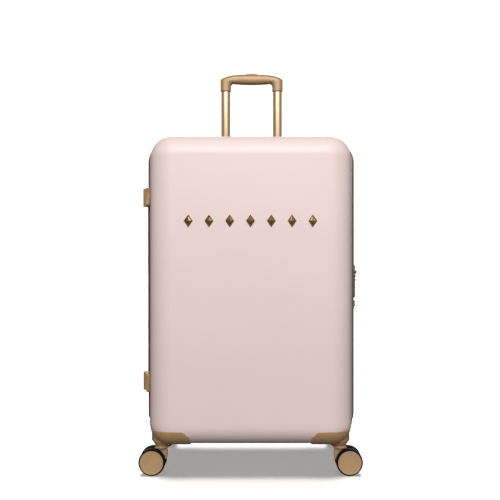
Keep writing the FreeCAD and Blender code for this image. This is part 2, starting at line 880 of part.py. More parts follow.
node("key_cylinder", minus("key_cylinder", key_barrel, key_slot))

sliders = []
for word, low in (("upper", "upper_slider_low"), ("lower", "lower_slider_low")):
    middle = f"{low} + slider_tall / 2"
    hood = soft_box(f"{word}_slider_hood", ("slider_root", "slider_face"),
                    ("-slider_half", "slider_half"), (low, f"{low} + slider_tall"),
                    ("hood_round", along("x")), ("hood_edge", face_loop("x", 1)))
    name = f"{word}_zip_pull"
    lugs = [
        box(f"{word}_slider_lug_{cheek}", ("slider_face - cut_lap", "pull_axis + lug_reach"), ends,
            (f"{middle} - lug_half", f"{middle} + lug_half"))
        for cheek, ends in (
            ("near", ("-pull_thick / 2 - lug_far", "-pull_thick / 2 - lug_near")),
            ("far", ("pull_thick / 2 + lug_near", "pull_thick / 2 + lug_far")),
        )
    ]
    pin = rod(f"{word}_slider_pin", "y", "pull_pin", "-pull_thick / 2 - lug_far",
              "pull_thick / 2 + lug_far", ("pull_axis", middle))
    sliders.append(joined(f"{word}_slider", hood, *lugs, pin))
    near, far = "-pull_thick / 2", "pull_thick / 2"
    tip = f"{middle} - pull_reach"
    eye = rod(f"{name}_eye", "y", "pull_eye", near, far, ("pull_axis", middle))
    shaft = box(f"{name}_shaft", ("pull_axis - pull_back", "pull_axis + pull_front"), (near, far),
                (tip, middle))
    loop = rod(f"{name}_loop", "y", "pull_ring", near, far, ("pull_axis + lug_reach", tip))
    hole = rod(f"{name}_hole", "y", "pull_hole", f"{near} - cut_lap", f"{far} + cut_lap",
               ("pull_axis + lug_reach", tip))
    bore = rod(f"{name}_bore", "y", "pull_pin + run_gap", f"{near} - cut_lap", f"{far} + cut_lap",
               ("pull_axis", middle))
    node(name, minus(name, joined(f"{name}_body", eye, shaft, loop), hole, bore))
node("zip_sliders", group("zip_sliders", *sliders))

# Casters ----------------------------------------------------------------------------------------------

GUARD_OUTLINE = [
    ("rim_half + cut_reach", "guard_high"), ("guard_shoulder", "guard_high"),
    ("guard_shoulder - 4.5", "guard_high - 0.8"), ("guard_shoulder - 8.5", "guard_high - 3"),
    ("guard_shoulder - 11.6", "guard_high - 6.4"), ("guard_shoulder - 14", "guard_high - 9.6"),
    ("guard_shoulder - 16", "guard_high - 11.2"), ("guard_waist", "guard_high - 12"),
    ("guard_waist", "kingpin_low"), ("rim_half + cut_reach", "kingpin_low"),
]
BLADE_OUTLINE = [
    ("-disc_round + blade_inset", "disc_low + cut_lap"),
    ("-disc_round + blade_inset", "wheel_round + 7"),
    ("trail - 11", "blade_low + 1"), ("trail + 4", "blade_low"),
    ("trail + 11", "wheel_round - 4"), ("trail + 9", "wheel_round + 12"),
    ("disc_round - blade_inset", "disc_low + cut_lap"),
]

def span(low, high, side):
    """Two ends on one side of zero, in rising order."""
    return (low, high) if side > 0 else (f"-({high})", f"-({low})")


kingpins = {-1: [], 1: []}
for corner, (across, through) in CORNERS.items():
    case_grown = case_grown_rear if through > 0 else case_grown_front
    case_outer = case_outer_rear if through > 0 else case_outer_front
    far = "guard_back_reach" if through > 0 else "guard_front_reach"
    middle = (f"caster_across * {across}", f"caster_depth * {through}")
    turn = None if across > 0 else HALF_TURN

    outline = [(f"({x}) * {across}", z) for x, z in GUARD_OUTLINE]
    start = "guard_start" if through > 0 else f"-{far}"
    prism = plate(f"{corner}_guard_prism", "XZ_Plane", outline, start, f"{far} - guard_start")
    guard = minus(f"{corner}_guard", within(f"{corner}_guard_skin", prism, case_grown),
                  case_outer)
    cone = doc.addObject("Part::Cone", f"{corner}_boss_cone")
    link(cone, Radius1="boss_small", Radius2="boss_large", Height="boss_high - boss_low")
    place(cone, *middle, "boss_low")
    collar = rod(f"{corner}_boss_collar", "z", "boss_large", "boss_high", "guard_high - 2", middle)
    boss = minus(f"{corner}_boss", joined(f"{corner}_boss_form", cone, collar), case_outer)
    post = rod(f"{corner}_post", "z", "post_round", "boss_low", "post_top", middle)
    bore = rod(f"{corner}_post_bore", "z", "kingpin_round", "boss_low - cut_lap", "kingpin_top",
               middle)
    name = f"{corner}_caster_housing"
    node(name, minus(name, joined(f"{corner}_housing_body", guard, boss, post), bore))

    shank = rod(f"{corner}_kingpin_shank", "z", "kingpin_round", "boss_low + slide_gap", "kingpin_top",
                middle)
    tail = rod(f"{corner}_kingpin_tail", "z", "kingpin_thin", "kingpin_low", "boss_low + cut_lap",
               middle)
    kingpins[through].append(joined(f"{corner}_kingpin", shank, tail))

    disc = rod(f"{corner}_fork_disc", "z", "disc_round", "disc_low", "disc_high", (0, 0))
    blade = plate(f"{corner}_fork_blade", "XZ_Plane", BLADE_OUTLINE, "-blade_half",
                  "2 * blade_half", ("blade_round", along("y")))
    axle_bore = rod(f"{corner}_axle_bore", "y", "axle_round + run_gap", "-blade_half - cut_lap",
                    "blade_half + cut_lap", ("trail", "wheel_round"))
    pin_bore = rod(f"{corner}_pin_bore", "z", "kingpin_thin + run_gap",
                   "kingpin_low - slide_gap", "disc_high + cut_lap", (0, 0))
    name = f"{corner}_fork"
    fork = minus(name, joined(f"{corner}_fork_body", disc, blade), axle_bore, pin_bore)
    place(fork, *middle, 0, turn)
    node(name, fork)

    centre = ("trail", "wheel_round")
    tyres = []
    hubs = []
    for word, side in (("near", -1), ("far", 1)):
        tread_ends = span("wheel_near", "wheel_far - cap_thick", side)
        tread = rod(f"{corner}_{word}_tread", "y", "wheel_round", *tread_ends, centre)
        hollow = rod(f"{corner}_{word}_tread_hollow", "y", "hub_round", "-wheel_round", "wheel_round",
                     centre)
        rubber = doc.addObject("Part::Fillet", f"{corner}_{word}_tyre_rounded")
        rubber.Base = tread
        doc.recompute()
        edge_round = SIZES["tyre_edge"]
        rubber.Edges = [
            (number, edge_round, edge_round)
            for number, edge in enumerate(tread.Shape.Edges, start=1)
            if len(edge.Vertexes) == 1
        ]
        tyres.append(minus(f"{corner}_{word}_tyre", rubber, hollow))
        drum_ends = span("wheel_near + hub_set", "wheel_far - cap_thick", side)
        cap_ends = span("wheel_far - cap_thick", "wheel_far", side)
        drum = rod(f"{corner}_{word}_drum", "y", "hub_round", *drum_ends, centre)
        cap = rod(f"{corner}_{word}_cap", "y", "cap_round", *cap_ends, centre)
        bore_ends = span(0, "wheel_far - cap_thick", side)
        bore = rod(f"{corner}_{word}_hub_bore", "y", "axle_round", *bore_ends, centre)
        hubs.append(minus(f"{corner}_{word}_hub", joined(f"{corner}_{word}_hub_body", drum, cap),
                          bore))
    for kind, pieces in (("tyres", tyres), ("hubs", hubs)):
        pair = group(f"{corner}_{kind}", *pieces)
        place(pair, *middle, 0, turn)
        node(f"{corner}_{kind}", pair)
    axle = rod(f"{corner}_axle_bar", "y", "axle_round", "-wheel_far + cap_thick + key_clear",
               "wheel_far - cap_thick - key_clear", centre)
    shaft = group(f"{corner}_axle", axle)
    place(shaft, *middle, 0, turn)
    node(f"{corner}_axle", shaft)
node("front_kingpins", group("front_kingpins", *kingpins[-1]))
node("rear_kingpins", group("rear_kingpins", *kingpins[1]))

# Packing straps ------------------------------------------------------------------------------------------

straps = []
for word, lean, back in (("first", 1, "strap_back"),
                         ("second", -1, "strap_back - strap_thick - strap_gap")):
    band = box(f"strap_{word}_band", ("-strap_wide / 2", "strap_wide / 2"),
               (f"{back} - strap_thick", back), ("-strap_long / 2", "strap_long / 2"))
    tilted = group(f"strap_{word}", band)
    tilted.Placement = Placement(Vector(0, 0, 0),
                                 Rotation(Vector(0, 1, 0), SIZES["strap_lean"] * lean))
    tilted.setExpression("Placement.Base.z", formula("strap_level"))
    straps.append(tilted)
node("packing_straps", group("packing_straps", *straps))
buckle_back = "strap_back - 2 * strap_thick - strap_gap - 0.1"
node("strap_buckle", soft_box(
    "strap_buckle", ("-buckle_half", "buckle_half"),
    (f"{buckle_back} - buckle_thick", buckle_back),
    ("strap_level - buckle_tall / 2", "strap_level + buckle_tall / 2"),
    ("buckle_round", along("y")), ("buckle_edge", face_loop("y", -1))))

doc.recompute()
for item in doc.Objects:
    if "Invalid" in item.State or "Error" in item.State:
        raise RuntimeError(f"{item.Name} did not recompute: {item.State}")
for name, item in NODES.items():
    if item.Shape.isNull() or not item.Shape.isValid() or not item.Shape.Solids:
        raise RuntimeError(f"{name} has no sound solid")
    item.Shape.exportStep(f"parts/{name}.step")
print(len(NODES), "sub-parts written")
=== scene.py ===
import math

import bmesh
import bpy
from mathutils import Matrix, Vector, noise


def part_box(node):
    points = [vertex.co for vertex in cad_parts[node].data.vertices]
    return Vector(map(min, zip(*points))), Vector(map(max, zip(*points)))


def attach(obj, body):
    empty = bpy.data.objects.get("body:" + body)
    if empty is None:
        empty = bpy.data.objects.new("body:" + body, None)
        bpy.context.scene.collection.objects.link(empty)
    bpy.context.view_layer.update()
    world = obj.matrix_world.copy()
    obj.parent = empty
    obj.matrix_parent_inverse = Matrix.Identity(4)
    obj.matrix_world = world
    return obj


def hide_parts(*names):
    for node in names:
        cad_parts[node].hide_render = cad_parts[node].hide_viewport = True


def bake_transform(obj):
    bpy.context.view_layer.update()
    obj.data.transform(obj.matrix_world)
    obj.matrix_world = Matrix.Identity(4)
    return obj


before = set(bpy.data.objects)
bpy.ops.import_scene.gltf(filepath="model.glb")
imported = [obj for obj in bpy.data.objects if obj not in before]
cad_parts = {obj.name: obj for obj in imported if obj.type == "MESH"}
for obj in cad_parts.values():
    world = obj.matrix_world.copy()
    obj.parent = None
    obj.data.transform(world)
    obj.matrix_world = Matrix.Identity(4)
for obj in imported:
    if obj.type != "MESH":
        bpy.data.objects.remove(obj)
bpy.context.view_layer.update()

# ---------------------------------------------------------------------------------------------
# The two half shells. Each is one vacuum-formed polycarbonate dish, dyed through in a pale
# rose and left with a fine satin grain. Their rims meet at the zip, and the base shell has a
# well cut in its top edge for the telescopic handle.
# ---------------------------------------------------------------------------------------------

MM = 0.001
shell_low, shell_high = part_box("rear_shell")
RIM = shell_low.y
DEPTH = shell_high.y
HALF = shell_high.x
LOW = shell_low.z
HIGH = shell_high.z
WALL = 2.5 * MM
CORNER = 48 * MM
FACE_ROUND = 42 * MM
FACE_MARGIN = 3 * MM
LIP_ROUND = 1.0 * MM
LIP_STEP = 0.3 * MM
# Sewing draws the side rims in a little, so the walls lean less than they would from the edge.
SIDE_TUCK = 1.5 * MM
SIDE_LEAN = (27 * MM - SIDE_TUCK) / (DEPTH - RIM)
TOP_LEAN = 5 * MM / (DEPTH - RIM)
BOTTOM_LEAN = 8 * MM / (DEPTH - RIM)
CORNER_STEPS = 14
WALL_STEPS = 5
FACE_STEPS = 14


def outline(depth, inset, corner_steps=CORNER_STEPS):
    """The case's rounded rectangle at a depth from the zip plane, as (x, z) pairs."""
    run = depth - RIM
    half = HALF - SIDE_TUCK - SIDE_LEAN * run - inset
    high = HIGH - TOP_LEAN * run - inset
    low = LOW + BOTTOM_LEAN * run + inset
    radius = max(CORNER - inset, 1 * MM)
    points = []
    for turn, (x, z) in enumerate((
        (half - radius, high - radius), (radius - half, high - radius),
        (radius - half, low + radius), (half - radius, low + radius),
    )):
        for step in range(corner_steps + 1):
            angle = math.radians(90 * (turn + step / corner_steps))
            points.append((x + radius * math.cos(angle), z + radius * math.sin(angle)))
    return points


def loft(name, rings, cap_first=True, cap_last=True):
    """A skin through rings of points that all have the same count, closed round each ring."""
    count = len(rings[0])
    vertices = [point for ring in rings for point in ring]
    faces = []
    for row in range(len(rings) - 1):
        for step in range(count):
            following = (step + 1) % count
            faces.append((row * count + step, row * count + following,
                          (row + 1) * count + following, (row + 1) * count + step))
    if cap_first:
        faces.append(tuple(range(count))[::-1])
    if cap_last:
        faces.append(tuple((len(rings) - 1) * count + step for step in range(count)))
    mesh = bpy.data.meshes.new(name)
    mesh.from_pydata(vertices, [], faces)
    return mesh


def face_out(mesh):
    """Turns every face of a closed mesh outwards."""
    work = bmesh.new()
    work.from_mesh(mesh)
    bmesh.ops.remove_doubles(work, verts=work.verts, dist=1e-6)
    bmesh.ops.recalc_face_normals(work, faces=work.faces)
    work.to_mesh(mesh)
    work.free()


def finished(name, mesh, material, body, sharp=35, closed=True, replaced=(), slot=None):
    """Puts a mesh into the scene as a smooth piece that rides on a body and stands for nodes."""
    if closed:
        face_out(mesh)
    mesh.shade_smooth()
    mesh.set_sharp_from_angle(angle=math.radians(sharp))
    piece = bpy.data.objects.new(name, mesh)
    bpy.context.scene.collection.objects.link(piece)
    piece.data.materials.clear()
    piece.data.materials.append(material)
    if body:
        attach(piece, body)
    if replaced:
        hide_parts(*replaced)
    return piece


def linear(text):
    """An sRGB hex colour as linear red, green, blue and alpha."""
    shares = [int(text[start:start + 2], 16) / 255 for start in (0, 2, 4)]
    return tuple(share / 12.92 if share <= 0.04045 else ((share + 0.055) / 1.055) ** 2.4
                 for share in shares) + (1.0,)


def add(tree, kind, settings=None, **links):
    """Adds a node; settings are its properties or socket values, links feed its sockets."""
    made = tree.nodes.new(kind)
    for name, value in (settings or {}).items():
        if hasattr(made, name):
            setattr(made, name, value)
        else:
            made.inputs[name].default_value = value
    for name, source in links.items():
        tree.links.new(source, made.inputs[name.replace("_", " ")])
    return made


def surface(name, colour, roughness, metallic=0.0, ior=1.5, coat=0.0, sheen=0.0):
    """A new material with its Principled shader set; returns the material, tree and shader."""
    material = bpy.data.materials.new(name)
    material.use_nodes = True
    tree = material.node_tree
    shader = tree.nodes["Principled BSDF"]
    shader.inputs["Base Color"].default_value = linear(colour)
    shader.inputs["Roughness"].default_value = roughness
    shader.inputs["Metallic"].default_value = metallic
    shader.inputs["IOR"].default_value = ior
    shader.inputs["Coat Weight"].default_value = coat
    shader.inputs["Coat Roughness"].default_value = 0.25
    shader.inputs["Sheen Weight"].default_value = sheen
    return material, tree, shader


def grain(tree, shader, size, height, stretch=(1, 1, 1), detail=3.0):
    """A fine bump of a real grain size in metres on the object's own coordinates."""
    place = add(tree, "ShaderNodeTexCoord")
    scaled = add(tree, "ShaderNodeMapping", {"Scale": stretch}, Vector=place.outputs["Object"])
    speckle = add(tree, "ShaderNodeTexNoise", {"Scale": 1 / size, "Detail": detail},
                  Vector=scaled.outputs["Vector"])
    bump = add(tree, "ShaderNodeBump", {"Strength": 0.35, "Distance": height},
               Height=speckle.outputs["Fac"])
    tree.links.new(bump.outputs["Normal"], shader.inputs["Normal"])


def tone(tree, shader, size, dark, light, stretch=(1, 1, 1)):
    """Slow, slight colour drift between two hex colours, as a dyed or painted part has."""
    place = add(tree, "ShaderNodeTexCoord")
    scaled = add(tree, "ShaderNodeMapping", {"Scale": stretch}, Vector=place.outputs["Object"])
    speckle = add(tree, "ShaderNodeTexNoise", {"Scale": 1 / size, "Detail": 2.0},
                  Vector=scaled.outputs["Vector"])
    ramp = add(tree, "ShaderNodeValToRGB", Fac=speckle.outputs["Fac"])
    ramp.color_ramp.elements[0].position = 0.3
    ramp.color_ramp.elements[1].position = 0.7
    ramp.color_ramp.elements[0].color = linear(dark)
    ramp.color_ramp.elements[1].color = linear(light)
    tree.links.new(ramp.outputs["Color"], shader.inputs["Base Color"])


def scuffed(tree, shader, size, low, high):
    """Lets roughness wander between two values, as handling leaves a moulded skin."""
    place = add(tree, "ShaderNodeTexCoord")
    speckle = add(tree, "ShaderNodeTexNoise", {"Scale": 1 / size, "Detail": 4.0},
                  Vector=place.outputs["Object"])
    spread = add(tree, "ShaderNodeMapRange", {"To Min": low, "To Max": high},
                 Value=speckle.outputs["Fac"])
    tree.links.new(spread.outputs["Result"], shader.inputs["Roughness"])


# Polycarbonate with a satin texture from the forming tool: soft highlight, no mirror image.
# The grain is drawn at 1.4 mm, coarser than the real 0.3 mm, so that it shows.
rose_polycarbonate, tree, shader = surface("rose_polycarbonate_satin", "E6D2CE", 0.5, ior=1.55,
                                           coat=0.06)
grain(tree, shader, 1.4 * MM, 0.05 * MM)
tone(tree, shader, 0.19, "E5D0CC", "E7D4D0")
scuffed(tree, shader, 0.03, 0.47, 0.55)


def shell_rings(inset, side, start):
    """Rings from the rim over the wall and the rounded edge to the flat face."""
    rings = []
    straight_end = DEPTH - FACE_ROUND
    radius = FACE_ROUND - inset
    stations = [(start + (straight_end - start) * step / WALL_STEPS, 0)
                for step in range(WALL_STEPS + 1)]
    for step in range(1, FACE_STEPS + 1):
        angle = math.radians(90 * step / FACE_STEPS)
        stations.append((straight_end + radius * math.sin(angle), radius * (1 - math.cos(angle))))
    stations.append((DEPTH - inset, radius + FACE_MARGIN))
    for depth, reach in stations:
        rings.append([(x, depth * side, z) for x, z in outline(depth, inset + reach)])
    return rings


def shell_mesh(name, side):
    """One half shell as a closed skin: outside, rounded lip at the rim, inside."""
    outer = shell_rings(0, side, RIM + LIP_ROUND)
    lip = [[(x, depth * side, z) for x, z in outline(depth, inset)] for depth, inset in (
        (RIM + LIP_STEP, LIP_STEP), (RIM, LIP_ROUND), (RIM, WALL - LIP_ROUND),
        (RIM + LIP_STEP, WALL - LIP_STEP))]
    inner = shell_rings(WALL, side, RIM + LIP_ROUND)
    rings = outer[::-1] + lip + inner
    return loft(name, rings)


def cut_out(mesh, low, high):
    """Takes a block out of a closed mesh."""
    holder = bpy.data.objects.new("cut", mesh)
    bpy.context.scene.collection.objects.link(holder)
    corners = [(x, y, z) for x in (low[0], high[0]) for y in (low[1], high[1])
               for z in (low[2], high[2])]
    block = bpy.data.meshes.new("cutter")
    block.from_pydata(corners, [], [(0, 1, 3, 2), (4, 6, 7, 5), (0, 4, 5, 1), (2, 3, 7, 6),
                                    (0, 2, 6, 4), (1, 5, 7, 3)])
    tool = bpy.data.objects.new("cutter", block)
    bpy.context.scene.collection.objects.link(tool)
    boolean = holder.modifiers.new("cut", "BOOLEAN")
    boolean.object = tool
    boolean.operation = "DIFFERENCE"
    result = bpy.data.meshes.new_from_object(
        holder.evaluated_get(bpy.context.evaluated_depsgraph_get()))
    bpy.data.objects.remove(holder)
    bpy.data.objects.remove(tool)
    return result


finished("lid_shell", shell_mesh("lid_shell", -1), rose_polycarbonate, "lid",
         replaced=["front_shell"], slot="shell")
base_shell = shell_mesh("base_shell", 1)
face_out(base_shell)
bezel_low, bezel_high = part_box("trolley_bezel")
WELL_REACH = 5 * MM
WELL_BACK = 3.4 * MM
WELL_OVER = 20 * MM
base_shell = cut_out(base_shell, (bezel_low.x + WELL_REACH, bezel_low.y + WELL_REACH, bezel_low.z),
                     (bezel_high.x - WELL_REACH, bezel_high.y - WELL_BACK, HIGH + WELL_OVER))
finished("base_shell", base_shell, rose_polycarbonate, "base", closed=False,
         replaced=["rear_shell"], slot="shell")

# ---------------------------------------------------------------------------------------------
# The row of raised studs across the lid: cast zinc lozenges with a bevelled rim and a ridged
# middle, plated and polished, each held by a pin through the shell.
# ---------------------------------------------------------------------------------------------

# Polished gilt plating: a near mirror, a little softened by handling.
polished_gilt, tree, shader = surface("polished_gilt_plating", "CDAE82", 0.16, metallic=1.0)
scuffed(tree, shader, 0.004, 0.10, 0.22)

studs_low, studs_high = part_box("lid_studs")
STUDS = 7
STUD_HALF_WIDE = 10 * MM
# Steps of a stud from the shell outwards: (share of its rise, share of its width).
STUD_STEPS = ((0.0, 1.0), (0.45, 1.0), (0.75, 0.93), (0.75, 0.80), (0.50, 0.74), (1.0, 0.10))


def stud_mesh(name):
    """The row of lozenges, each a stack of outlines from its back to its ridged middle."""
    lozenges = []
    proud = studs_high.y - studs_low.y
    half_tall = (studs_high.z - studs_low.z) / 2
    middle_z = (studs_high.z + studs_low.z) / 2
    reach = studs_high.x - STUD_HALF_WIDE
    for number in range(STUDS):
        middle_x = -reach + 2 * reach * number / (STUDS - 1)
        rings = []
        for rise, share in STUD_STEPS:
            y = studs_high.y - proud * rise
            rings.append([(middle_x + STUD_HALF_WIDE * share * x, y,
                           middle_z + half_tall * share * z)
                          for x, z in ((1, 0), (0, 1), (-1, 0), (0, -1))])
        lozenges.append(loft(f"{name}_{number}", rings))
    return lozenges


def joined_mesh(name, meshes):
    """Several closed meshes as one, each with its faces outwards."""
    work = bmesh.new()
    for mesh in meshes:
        face_out(mesh)
        work.from_mesh(mesh)
    result = bpy.data.meshes.new(name)
    work.to_mesh(result)
    work.free()
    return result


finished("lid_lozenges", joined_mesh("lid_lozenges", stud_mesh("lozenge")), polished_gilt, "lid",
         sharp=10, closed=False, replaced=["lid_studs"], slot="gold_metal")

# ---------------------------------------------------------------------------------------------
# The zip: a woven tape sewn inside each rim, a nylon coil along each tape, and two cast
# sliders with pull tabs that park beside the lock. Tapes and coils stop at the side hinges.
# ---------------------------------------------------------------------------------------------

# Woven polyester tape: a herringbone of 0.8 mm threads, drawn at 1.6 mm so that it shows.
zip_weave, tree, shader = surface("woven_zip_tape", "5A463C", 0.85, sheen=0.4)


# A wave texture of scale 1 repeats after this distance.
WAVE_REPEAT = 0.314


def woven(tree, shader, thread, dark, light, height):
    """Crossed threads of a real spacing: bump and a slight change of colour between them."""
    place = add(tree, "ShaderNodeTexCoord")
    waves = []
    for axis in ("X", "Z"):
        waves.append(add(tree, "ShaderNodeTexWave",
                         {"wave_type": "BANDS", "bands_direction": axis,
                          "Scale": WAVE_REPEAT / thread, "Distortion": 0.4, "Detail": 1.0},
                         Vector=place.outputs["Object"]))
    crossed = add(tree, "ShaderNodeMath", {"operation": "MAXIMUM"})
    tree.links.new(waves[0].outputs["Fac"], crossed.inputs[0])
    tree.links.new(waves[1].outputs["Fac"], crossed.inputs[1])
    ramp = add(tree, "ShaderNodeValToRGB", Fac=crossed.outputs["Value"])
    ramp.color_ramp.elements[0].color = linear(dark)
    ramp.color_ramp.elements[1].color = linear(light)
    tree.links.new(ramp.outputs["Color"], shader.inputs["Base Color"])
    bump = add(tree, "ShaderNodeBump", {"Strength": 0.5, "Distance": height},
               Height=crossed.outputs["Value"])
    tree.links.new(bump.outputs["Normal"], shader.inputs["Normal"])


woven(tree, shader, 1.6 * MM, "3A2B23", "4F3C32", 0.15 * MM)

# Nylon monofilament: smooth and slightly glossy.
nylon_coil, tree, shader = surface("nylon_coil", "5A463A", 0.35)
grain(tree, shader, 2 * MM, 0.02 * MM)

# Bonded nylon sewing thread, a shade lighter than the tape.
sewing_thread, tree, shader = surface("bonded_sewing_thread", "7A6250", 0.7, sheen=0.3)
grain(tree, shader, 0.8 * MM, 0.05 * MM)

# The tape's section as (inset from the rim's outer face, depth from the zip plane) in mm: it
# comes from behind the rim, swells out through the gap and ends under the coil.
TAPE_SECTION = ((4.9, 13.5), (3.9, 9.6), (3.0, 7.6), (1.2, 6.4), (-0.4, 4.8), (-1.2, 2.9),
                (-1.3, 1.4), (-0.6, 0.2))
TAPE_THICK = 0.9
COIL_INSET = -1.0 * MM
COIL_PITCH = 2.4 * MM
COIL_OFF = 0.85 * MM
STITCH_PITCH = 4.2 * MM
# Two rows of stitches, placed as the tape's section is.
STITCH_ROWS = ((-1.25, 2.9), (-0.45, 4.8))
hinge_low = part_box("lower_hinge_base_leaf")[0].z
hinge_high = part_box("upper_hinge_base_leaf")[1].z
ZIP_END = 2 * MM
# Down the sides the zip bows out further than over the top: this much past the case's edge.
ZIP_BOW = 1.6 * MM
ZIP_WIDEN = 1 + (SIDE_TUCK + ZIP_BOW) / HALF


def zip_path(inset, start_shift=0.0):
    """The zip's way round the case, from below the lower hinge to above the upper one."""
    around = outline(RIM, inset)
    steps = CORNER_STEPS + 1
    top_right, top_left = around[:steps], around[steps:2 * steps]
    bottom_left, bottom_right = around[2 * steps:3 * steps], around[3 * steps:]
    left = top_left[-1][0]
    path = ([(left, hinge_low - ZIP_END - start_shift)] + bottom_left + bottom_right
            + top_right + top_left + [(left, hinge_high + ZIP_END)])
    return [(x * ZIP_WIDEN, z) for x, z in path]


def tape_mesh(name, side):
    """A band with the tape's section, following the zip's path."""
    outer = [(inset, depth) for inset, depth in TAPE_SECTION]
    inner = [(inset + TAPE_THICK, depth) for inset, depth in TAPE_SECTION[::-1]]
    lines = [[(x, depth * MM * side, z) for x, z in zip_path(inset * MM)]
             for inset, depth in outer + inner]
    return loft(name, [list(ring) for ring in zip(*lines)])


def repeat_tree(name, element, material):
    """Geometry Nodes that set copies of one element along a curve, turned to follow it."""
    tree = bpy.data.node_groups.new(name, "GeometryNodeTree")
    sockets = {}
    tree.interface.new_socket("Geometry", in_out="OUTPUT", socket_type="NodeSocketGeometry")
    tree.interface.new_socket("Geometry", in_out="INPUT", socket_type="NodeSocketGeometry")
    for word in ("Pitch", "Across", "Deep", "Thick"):
        sockets[word] = tree.interface.new_socket(word, in_out="INPUT",
                                                  socket_type="NodeSocketFloat").identifier
    given = add(tree, "NodeGroupInput")
    spaced = add(tree, "GeometryNodeResampleCurve", {"mode": "LENGTH"},
                 Curve=given.outputs["Geometry"], Length=given.outputs["Pitch"])
    size = add(tree, "ShaderNodeCombineXYZ")
    if element == "loop":
        circle = add(tree, "GeometryNodeCurvePrimitiveCircle", {"Resolution": 8, "Radius": 1.0})
        wire = add(tree, "GeometryNodeCurvePrimitiveCircle", {"Resolution": 4, "Radius": 0.42})
        ring = add(tree, "GeometryNodeCurveToMesh", Curve=circle.outputs["Curve"],
                   Profile_Curve=wire.outputs["Curve"])
        shape = add(tree, "GeometryNodeTransform", {"Rotation": (0, math.pi / 2, 0)},
                    Geometry=ring.outputs["Mesh"]).outputs["Geometry"]
    else:
        shape = add(tree, "GeometryNodeMeshUVSphere",
                    {"Segments": 8, "Rings": 5, "Radius": 1.0}).outputs["Mesh"]
    tree.links.new(given.outputs["Thick"], size.inputs["X"])
    tree.links.new(given.outputs["Across"], size.inputs["Y"])
    tree.links.new(given.outputs["Deep"], size.inputs["Z"])
    sized = add(tree, "GeometryNodeTransform", Geometry=shape, Scale=size.outputs["Vector"])
    tangent = add(tree, "GeometryNodeInputTangent")
    turn = add(tree, "FunctionNodeAlignRotationToVector", {"axis": "X", "pivot_axis": "Y"},
               Vector=tangent.outputs["Tangent"])
    copies = add(tree, "GeometryNodeInstanceOnPoints", Points=spaced.outputs["Curve"],
                 Instance=sized.outputs["Geometry"], Rotation=turn.outputs["Rotation"])
    real = add(tree, "GeometryNodeRealizeInstances", Geometry=copies.outputs["Instances"])
    painted = add(tree, "GeometryNodeSetMaterial", {"Material": material},
                  Geometry=real.outputs["Geometry"])
    add(tree, "NodeGroupOutput", Geometry=painted.outputs["Geometry"])
    return tree, sockets


def repeated(name, tree_and_sockets, points, values, material, body, **keeps):
    """Runs a repeating tree along a line of points and keeps the result as a plain piece."""
    tree, sockets = tree_and_sockets
    line = bpy.data.curves.new(f"{name}_line", "CURVE")
    line.dimensions = "3D"
    spline = line.splines.new("POLY")
    spline.points.add(len(points) - 1)
    for point, place in zip(spline.points, points):
        point.co = (*place, 1)
    carrier = bpy.data.objects.new(f"{name}_carrier", line)
    bpy.context.scene.collection.objects.link(carrier)
    modifier = carrier.modifiers.new("repeat", "NODES")
    modifier.node_group = tree
    for word, value in values.items():
        modifier[sockets[word]] = value
    evaluated = carrier.evaluated_get(bpy.context.evaluated_depsgraph_get())
    mesh = bpy.data.meshes.new_from_object(evaluated)
    carrier.modifiers.remove(modifier)
    bpy.data.objects.remove(carrier)
    return finished(name, mesh, material, body, sharp=60, closed=False, **keeps)


coil_tree = repeat_tree("coil_loops", "loop", nylon_coil)
stitch_tree = repeat_tree("stitches", "bead", sewing_thread)
for half, body, side in (("lid", "lid", -1), ("base", "base", 1)):
    node_half = "front" if side < 0 else "rear"
    finished(f"{half}_zip_tape", tape_mesh(f"{half}_zip_tape", side), zip_weave, body,
             replaced=[f"{node_half}_zip_tape"], slot="tape")
    coil_line = [(x, COIL_OFF * side, z)
                 for x, z in zip_path(COIL_INSET, COIL_PITCH / 2 if side > 0 else 0)]
    repeated(f"{half}_zip_coil", coil_tree, coil_line,
             {"Pitch": COIL_PITCH, "Across": 0.95 * MM, "Deep": 1.0 * MM, "Thick": 1.1 * MM},
             nylon_coil, body, replaced=[f"{node_half}_zip_teeth"], slot="teeth")
    for number, (inset, depth) in enumerate(STITCH_ROWS):
        stitch_line = [(x, depth * MM * side, z) for x, z in zip_path(inset * MM)]
        repeated(f"{half}_zip_stitches_{number}", stitch_tree, stitch_line,
                 {"Pitch": STITCH_PITCH, "Across": 0.35 * MM, "Deep": 0.3 * MM,
                  "Thick": 1.5 * MM}, sewing_thread, body, slot="tape")


def dressed(material, *nodes):
    """Gives carried-over CAD nodes their finish."""
    for node in nodes:
        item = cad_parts[node]
        item.data.materials.clear()
        item.data.materials.append(material)


# Satin metallic paint on cast zinc, a little darker and cooler than the painted nylon.
lock_paint, tree, shader = surface("satin_bronze_paint_on_zinc", "83705C", 0.40, metallic=0.35)
grain(tree, shader, 1.0 * MM, 0.02 * MM)
scuffed(tree, shader, 0.008, 0.3, 0.44)
dressed(lock_paint, "zip_sliders", "upper_zip_pull", "lower_zip_pull")

# ---------------------------------------------------------------------------------------------
# The linings: thin woven polyester cut in panels and sewn into a dish that is stretched from
# the zip tape over each shell, and over the fittings behind it. Two webbing straps with a
# moulded buckle hold the clothes in the base.
# ---------------------------------------------------------------------------------------------

# Plain-woven polyester lining: soft sheen, threads drawn at 2.4 mm so that they show.
lining_cloth, tree, shader = surface("plain_woven_lining", "CDB9A8", 0.78, sheen=0.5)
woven(tree, shader, 2.4 * MM, "BBA594", "D3C0B0", 0.12 * MM)

# Ribbed polypropylene webbing, 25 mm wide, ribs across its width.
webbing, tree, shader = surface("ribbed_webbing", "8C7360", 0.8, sheen=0.3)
woven(tree, shader, 1.8 * MM, "7A6352", "967D69", 0.3 * MM)

